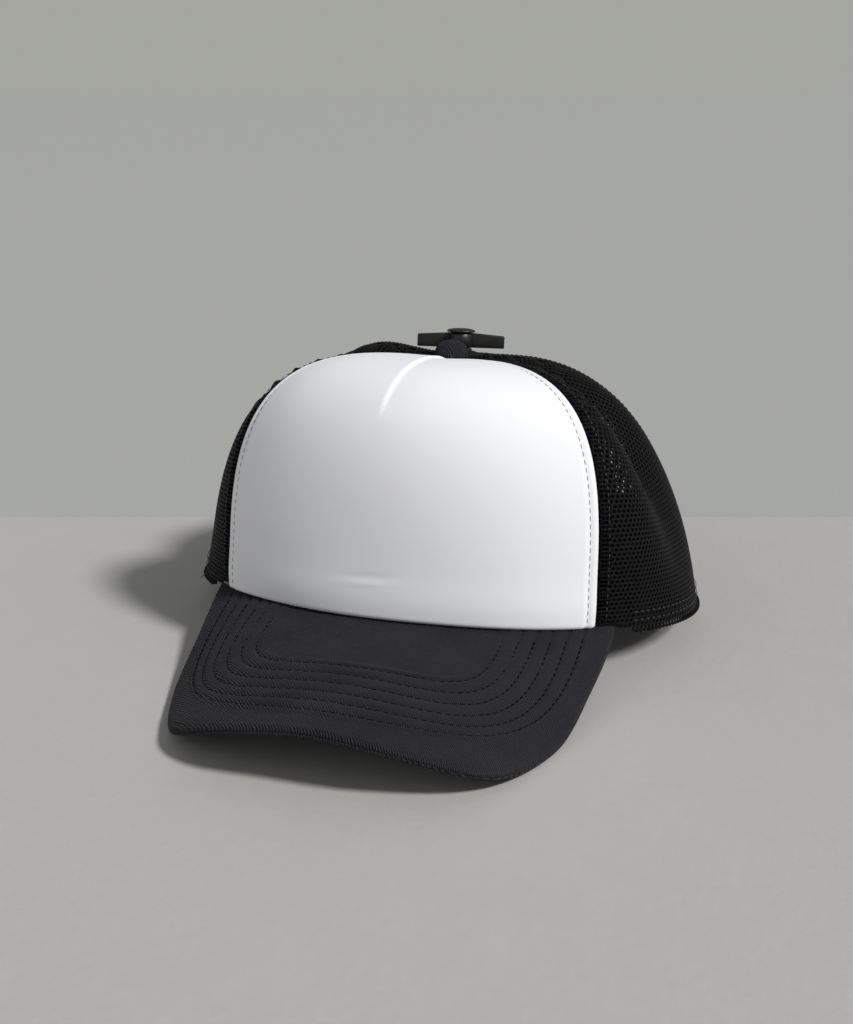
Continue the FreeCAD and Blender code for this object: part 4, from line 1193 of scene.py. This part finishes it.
@dataclass
class Sweatband:
    """The cloth band inside the rim, and the soft foam behind its front."""

    end: float = 154.0
    height: float = 32 * MM
    thickness: float = 1.1 * MM
    pad_end: float = 38.0
    front_depth: float = 6.25 * MM
    side_depth: float = 3.5 * MM
    back_depth: float = 6.55 * MM
    pad_depth: float = 4.25 * MM
    stitch: Stitch = Stitch(3.4 * MM, 2.5 * MM, 0.26 * MM)
    stitch_rows: tuple = (28.6 * MM, 3.4 * MM)

    def depth(self, angle: float) -> float:
        """Depth of the band's outer side under the crown surface."""
        turn = abs(angle)
        if turn < 90:
            rise = smooth((turn - 48) / 14)
            return self.front_depth + (self.side_depth - self.front_depth) * rise
        return self.side_depth + (self.back_depth - self.side_depth) * smooth((turn - 120.3) / 18)

    def build(self) -> list[bpy.types.Object]:
        """Makes the band, its stitches and the foam strip."""

        def place(across: float, upward: float) -> Vector:
            """Lays the band inside the rim, with soft waves and rolled edges."""
            angle = across * self.end
            height = 0.8 * MM + (self.height - 1.0 * MM) * (upward + 1) / 2
            edge = min(height - 0.6 * MM, self.height - height)
            wave = 0.16 * MM * (noise.noise(CROWN.outer(angle, 10) * 60.0) + 1)
            wave *= smooth(edge / (6 * MM))
            depth = self.depth(angle) + wave
            return CROWN.point(angle, CROWN.climb_at_height(angle, height), depth)

        def flat(across: float, upward: float) -> Vector:
            """Cloth coordinates of the band."""
            return Vector((across * 255 * MM, upward * self.height / 2, 0))

        band = mapped_grid(320, 26, place, flat)
        cloth = Piece(
            "sweatband_cloth", band, BAND, "black_band", ("sweatband",), thickness=self.thickness
        )
        pieces = [cloth.finished()]
        thread = bmesh.new()
        for height in self.stitch_rows:
            line = []
            for angle in range(-152, 153, 2):
                climb = CROWN.climb_at_height(angle, height)
                inner = self.depth(angle) + self.thickness + 0.2 * MM
                line.append((CROWN.point(angle, climb, inner), -CROWN.normal(angle, climb)))
            stitch_row(thread, line, self.stitch)
        pieces.append(Piece("sweatband_stitches", thread, NET_THREAD, "black_band").finished())

        def pad_place(across: float, upward: float) -> Vector:
            """Lays the foam between the front panel and the band."""
            angle = across * self.pad_end
            height = 0.9 * MM + (self.height - 1.8 * MM) * (upward + 1) / 2
            puff = 0.3 * MM * (1 - max(abs(across), abs(upward)) ** 6)
            climb = CROWN.climb_at_height(angle, height)
            return CROWN.point(angle, climb, self.pad_depth - puff)

        def pad_flat(across: float, upward: float) -> Vector:
            """Cloth coordinates of the foam."""
            return Vector((across * 66 * MM, upward * self.height / 2, 0))

        foam = Piece(
            "sweatband_foam", mapped_grid(90, 22, pad_place, pad_flat), FOAM, "white_foam",
            ("sweatband_padding",), thickness=1.5 * MM,
        )
        pieces.append(foam.finished())
        return pieces


# ------------------------------------------------------------------ button
@dataclass
class CrownButton:
    """The button, a shell covered with gathered twill."""

    radius: float = 6.6 * MM
    rise: float = 4.1 * MM
    lift: float = 0.3 * MM
    skirt: float = 2.6 * MM
    gathers: int = 9

    def build(self) -> bpy.types.Object:
        """Makes the gathered cover."""

        def place(across: float, along: float) -> Vector:
            """Wraps a square sheet over the dome."""
            reach = max(abs(across), abs(along))
            turn = math.atan2(along, across)
            share = math.sin(reach * math.pi / 2)
            gather = 0.22 * MM * reach**5 * math.cos(turn * self.gathers)
            dent = 0.12 * MM * noise.noise(Vector((across, along, 0)) * 2.5)
            level = math.cos(reach * math.pi / 2) ** 0.7
            out = (self.radius + gather) * share
            height = CROWN.height + self.lift - self.skirt + (self.rise + self.skirt + dent) * level
            return Vector((out * math.cos(turn), CROWN.top_y + out * math.sin(turn), height))

        def flat(across: float, along: float) -> Vector:
            """Cloth coordinates of the cover."""
            return Vector((across * self.radius, along * self.radius, 0))

        cover = Piece(
            "button_cloth", mapped_grid(40, 40, place, flat), TWILL, "charcoal_twill",
            ("button_cover",), thickness=0.45 * MM,
        )
        return cover.finished()


@dataclass
class KeeperBar:
    """The moulded bar behind the button, with its eye, and the stud's domed head."""

    half_length: float = 17.4 * MM
    half_width: float = 1.5 * MM
    rise: float = 5.8 * MM
    eye_outer: float = 4.85 * MM
    eye_inner: float = 3.35 * MM
    head_radius: float = 5.75 * MM
    head_rise: float = 1.5 * MM
    collar_radius: float = 4.55 * MM
    foot_radius: float = 4.45 * MM
    stem_radius: float = 2.95 * MM
    turn: float = 16.4

    def round_body(self, profile: tuple) -> bmesh.types.BMesh:
        """Spins a (radius, height) profile, in metres, about the upright axis."""
        body = bmesh.new()
        points = [body.verts.new((radius, 0, height)) for radius, height in profile]
        edges = [body.edges.new(pair) for pair in zip(points, points[1:])]
        bmesh.ops.spin(
            body, geom=points + edges, cent=(0, 0, 0), axis=(0, 0, 1),
            angle=2 * math.pi, steps=48, use_merge=True,
        )
        bmesh.ops.remove_doubles(body, verts=body.verts[:], dist=0.01 * MM)
        bmesh.ops.recalc_face_normals(body, faces=body.faces[:])
        return body

    def build(self) -> list[bpy.types.Object]:
        """Makes the bar with its eye, and the stud."""
        base = Vector((0, CROWN.top_y + CAP.keeper_back, CROWN.height + CAP.keeper_rise))
        high, edge = self.rise, 0.5 * MM
        ring = (
            (self.eye_inner, edge), (self.eye_inner + edge, 0), (self.eye_outer - edge, 0),
            (self.eye_outer, edge), (self.eye_outer, high - edge), (self.eye_outer - edge, high),
            (self.eye_inner + edge, high), (self.eye_inner, high - edge), (self.eye_inner, edge),
        )
        bar = self.round_body(ring)
        for sign in (-1, 1):
            near, far = self.eye_outer - 0.6 * MM, self.half_length
            centre = Vector((sign * (near + far) / 2, 0, high / 2))
            shape = Matrix.Diagonal((far - near, 2 * self.half_width, high, 1))
            made = bmesh.ops.create_cube(bar, size=1.0, matrix=Matrix.Translation(centre) @ shape)
            for vertex in made["verts"]:
                if sign * vertex.co.x > (near + far) / 2 and vertex.co.z > high / 2:
                    vertex.co.z -= 0.9 * MM
            rims = list({rim for vertex in made["verts"] for rim in vertex.link_edges})
            bmesh.ops.bevel(
                bar, geom=rims, offset=0.45 * MM, segments=3,
                profile=0.5, affect="EDGES", material=-1,
            )
        place = Matrix.Translation(base) @ Matrix.Rotation(math.radians(self.turn), 4, "Z")
        bmesh.ops.transform(bar, matrix=place, verts=bar.verts[:])
        moulding = Piece(
            "keeper_bar_moulding", bar, BLACK_PLASTIC, "black_plastic", ("keeper_bar",),
            body="keeper_bar",
        )
        pieces = [moulding.finished()]
        under = high + 0.3 * MM
        crest = under + self.head_rise
        stud = self.round_body((
            (0, -4.1 * MM), (self.foot_radius - edge, -4.1 * MM), (self.foot_radius, -3.7 * MM),
            (self.foot_radius - edge, -3.2 * MM), (1.9 * MM, -3.2 * MM), (1.9 * MM, -1.4 * MM),
            (self.collar_radius, -1.4 * MM), (self.collar_radius, -0.4 * MM),
            (self.stem_radius, -0.3 * MM), (self.stem_radius, under),
            (self.head_radius - 0.3 * MM, under), (self.head_radius, under + 0.35 * MM),
            (self.head_radius - 0.5 * MM, under + 0.9 * MM),
            (self.head_radius * 0.6, crest - 0.18 * MM), (self.head_radius * 0.25, crest),
            (0, crest),
        ))
        bmesh.ops.translate(stud, vec=base, verts=stud.verts[:])
        head = Piece("keeper_stud_moulding", stud, BLACK_PLASTIC, "black_plastic", ("keeper_stud",))
        pieces.append(head.finished())
        return pieces


# ------------------------------------------------------------------ visor
@dataclass
class VisorCovers:
    """The visor's twill covers, puckered along six rows of stitching."""

    visor: VisorShape = VISOR
    rows: int = 6
    outer_row: tuple = (67 * MM, 145.5 * MM, 2.5)
    inner_row: tuple = (42 * MM, 115.5 * MM, 4.0)
    edge_radius: float = 1.6 * MM
    groove: float = 0.35 * MM
    quilt: float = 0.75 * MM
    thread_lift: float = 0.14 * MM
    tuck: float = 1.5 * MM
    grid: tuple = (220, 170)
    stitch: Stitch = Stitch(2.9 * MM, 2.2 * MM, 0.3 * MM)
    stitch_steps: int = 160

    def row_shape(self, row: float) -> tuple[float, float, float, float]:
        """Half width, base, length and squareness of one stitch row."""
        share = row / (self.rows - 1)
        wide, front, power = (a + (b - a) * share for a, b in zip(self.outer_row, self.inner_row))
        base = self.visor.rim_line(wide)
        return wide, base, front + base, power

    def row_at(self, across: float, forward: float) -> float:
        """Number of the stitch row, with fractions, that passes through a point."""
        low, high = -2.5, self.rows + 2.0
        for _ in range(14):
            middle = (low + high) / 2
            wide, base, length, power = self.row_shape(middle)
            ahead = max(base - forward, 0.0) / max(length, 1 * MM)
            inside = (abs(across) / wide) ** power + ahead**power < 1
            low, high = (middle, high) if inside else (low, middle)
        return (low + high) / 2

    def relief(self, across: float, forward: float) -> float:
        """Puckering of the cover along its stitch rows."""
        row = self.row_at(across, forward)
        inside = smooth((row + 0.6) / 0.5) * smooth((self.rows - 0.4 - row) / 0.5)
        nearest = abs(row - round(row))
        ripple = 0.08 * MM * noise.noise(Vector((across, forward, 0)) * 260.0)
        pucker = 0.8 + 0.2 * math.sin((across + forward) * 2 * math.pi / (3.1 * MM))
        quilted = self.quilt * math.sin(min(nearest * 2, 1.0) * math.pi / 2) ** 0.5
        return inside * (ripple + quilted - self.groove * pucker * bump(nearest, 0.15)) + ripple

    def point(self, share: float, along: float, side: int) -> Vector:
        """A point of a cover.

        Args:
            share: -1 to 1 from the right end round the front to the left end.
            along: 0 at the crown and 1 at the visor's edge.
            side: 1 for the top cover, -1 for the one underneath.

        Returns:
            The point in the cap's own axes.
        """
        across, edge_y = self.visor.edge(share)
        root_y = self.visor.rim_line(across) + self.tuck
        forward = root_y + (edge_y - root_y) * along
        from_edge = (1 - along) * (root_y - edge_y)
        from_edge = min(from_edge, self.side_distance(across, forward))
        thickness = self.visor.half_thickness - rounded_edge(from_edge, self.edge_radius)
        thickness += self.relief(across, forward)
        height = self.visor.height(across, forward) + side * thickness
        return Vector((across, forward, height))

    def side_distance(self, across: float, forward: float) -> float:
        """Rough distance from the visor's side edge."""
        front_y = -(self.visor.crown.front + self.visor.length)
        end_y = self.visor.rim_line(self.visor.half_width)
        ahead = min(max((end_y - forward) / (end_y - front_y), 0.0), 1.0)
        wide = self.visor.half_width * (1 - ahead**2.4) ** (1 / 2.6)
        return max(wide - abs(across), 0.0) + 0.4 * MM

    def build(self) -> list[bpy.types.Object]:
        """Makes both covers and the stitches on both sides."""
        pieces = []
        for name, side in (("top", 1), ("under", -1)):

            def place(share: float, upward: float, side: int = side) -> Vector:
                """Lays the cover on the board."""
                return self.point(share * side, (1 - upward) / 2, side)

            def flat(share: float, upward: float) -> Vector:
                """Cloth coordinates in plan."""
                across, edge_y = self.visor.edge(share)
                root_y = self.visor.rim_line(across) + self.tuck
                return Vector((across, root_y + (edge_y - root_y) * (1 - upward) / 2, 0))

            cover = Piece(
                f"visor_cover_{name}", mapped_grid(*self.grid, place, flat), TWILL,
                "charcoal_twill", (f"visor_{name}_cover",), thickness=0.5 * MM,
            )
            pieces.append(cover.finished())
        thread = bmesh.new()
        for side in (1, -1):
            for row in range(self.rows):
                stitch_row(thread, self.row_line(row, side), self.stitch)
        pieces.append(Piece("visor_stitches", thread, DARK_THREAD, "charcoal_twill").finished())
        return pieces

    def row_line(self, row: int, side: int) -> list:
        """Points and outward directions along one stitch row."""
        wide, base, length, power = self.row_shape(row)
        line = []
        for step in range(self.stitch_steps + 1):
            turn = math.pi * step / self.stitch_steps
            across = math.copysign(abs(math.cos(turn)) ** (2 / power), math.cos(turn)) * wide
            forward = base - math.sin(turn) ** (2 / power) * length
            if forward > self.visor.rim_line(across) - 1.0 * MM:
                continue
            lift = self.visor.half_thickness + self.relief(across, forward) + self.thread_lift
            height = self.visor.height(across, forward) + side * lift
            slope = self.visor.slope(across)
            out = Vector((0, -slope, 1)).normalized() * side
            line.append((Vector((across, forward, height)), out))
        return line


# ------------------------------------------------------------------ stage
@dataclass
class Studio:
    """Pale floor, soft lights and the camera."""

    azimuth: float = 16.39
    elevation: float = 18.29
    camera_place: tuple = (0.1304, -0.4400, 0.2022)
    focal_share: float = 1.2505
    floor_half: float = 60.0
    floor_back: float = 0.604
    backdrop: tuple = (0.452, 0.458, 0.428)
    room_light: tuple = (0.235, 0.24, 0.25)
    room_seen: tuple = (0.372, 0.378, 0.352)
    sun_strength: float = 2.65
    sun_width: float = 9.0
    sun_place: tuple = (1.12, -0.34, 1.20)
    fill_power: float = 2.0
    fill_size: float = 1.4
    fill_place: tuple = (-0.7, -1.3, 0.9)
    aim: tuple = (0.0, 0.0, 0.04)

    def floor_paint(self) -> bpy.types.Material:
        """Floor finish: pale in front of the cap, and the backdrop's tone behind it."""
        material = FLOOR_PAINT.material()
        nodes = Nodes(material.node_tree)
        shader = material.node_tree.nodes["Principled BSDF"]
        turn = math.radians(self.azimuth)
        ahead = Vector((-math.sin(turn), math.cos(turn), 0))
        line = Vector(self.camera_place).dot(ahead) + self.floor_back
        body = nodes.add("TexCoord").outputs["Object"]
        along = nodes.add("VectorMath", {0: body, 1: ahead}, operation="DOT_PRODUCT")
        beyond = nodes.math("GREATER_THAN", along.outputs["Value"], line)
        pale = shader.inputs["Base Color"].links[0].from_socket
        mixed = nodes.add("Mix", {0: beyond, 6: pale, 7: (*self.backdrop, 1)}, data_type="RGBA")
        material.node_tree.links.new(mixed.outputs[2], shader.inputs["Base Color"])
        return material

    def build(self) -> None:
        """Makes the floor, the lamps, the world light and the camera."""
        floor = bmesh.new()
        bmesh.ops.create_grid(floor, x_segments=8, y_segments=8, size=self.floor_half)
        plane = linked_object("floor", floor)
        plane.data.materials.append(self.floor_paint())
        world = bpy.data.worlds.new("soft_room")
        world.use_nodes = True
        links = world.node_tree.links
        nodes = Nodes(world.node_tree)
        seen = nodes.add("LightPath").outputs["Is Camera Ray"]
        room = world.node_tree.nodes["Background"]
        light, back = (*self.room_light, 1), (*self.room_seen, 1)
        colour = nodes.add("Mix", {0: seen, 6: light, 7: back}, data_type="RGBA")
        links.new(colour.outputs[2], room.inputs[0])
        bpy.context.scene.world = world
        sun = bpy.data.lights.new("key_light", "SUN")
        sun.energy = self.sun_strength
        sun.angle = math.radians(self.sun_width)
        fill = bpy.data.lights.new("fill_light", "AREA")
        fill.shape = "DISK"
        fill.size = self.fill_size
        fill.energy = self.fill_power
        for lamp, spot in ((sun, self.sun_place), (fill, self.fill_place)):
            holder = bpy.data.objects.new(lamp.name, lamp)
            holder.location = spot
            aim = Vector(self.aim) - Vector(spot)
            holder.rotation_euler = aim.to_track_quat("-Z", "Y").to_euler()
            bpy.context.scene.collection.objects.link(holder)
        lens = bpy.data.cameras.new("camera")
        lens.sensor_width = 36.0
        lens.lens = self.focal_share * lens.sensor_width
        camera = bpy.data.objects.new("camera", lens)
        camera.location = self.camera_place
        camera.rotation_euler = (math.radians(90 - self.elevation), 0, math.radians(self.azimuth))
        bpy.context.scene.collection.objects.link(camera)
        bpy.context.scene.camera = camera
        bpy.context.scene.view_settings.view_transform = "Standard"


def dress_nodes() -> None:
    """Gives every CAD node that stays in view its finish."""
    finishes = {
        "visor_board": BOARD,
        "button_shell": STEEL,
        "button_rivet": STEEL,
        "button_back": STEEL,
        "strap_holed": BLACK_PLASTIC,
        "strap_pegged": BLACK_PLASTIC,
        "strap_holed_tab": BLACK_PLASTIC,
        "strap_pegged_tab": BLACK_PLASTIC,
    }
    for node, finish in finishes.items():
        slots = frame["nodes"][node].data.materials
        slots.clear()
        slots.append(finish.material())


def main() -> None:
    """Builds the cap and its stage in order."""
    Studio().build()
    FrontPanel().build()
    front, side = CROWN.front_seam, CROWN.side_seam
    for name, sign in (("left", 1), ("right", -1)):
        for part, near, far in (("side", front, side), ("back", side, 180.0)):
            start, end = sorted((sign * near, sign * far))
            NetPanel(f"{part}_net_{name}", start, end, (f"{part}_mesh_{name}",)).build()
    CrownSeams().build()
    ArchBinding().build()
    Sweatband().build()
    VisorCovers().build()
    CrownButton().build()
    KeeperBar().build()
    dress_nodes()


if __name__ == "__main__":
    main()
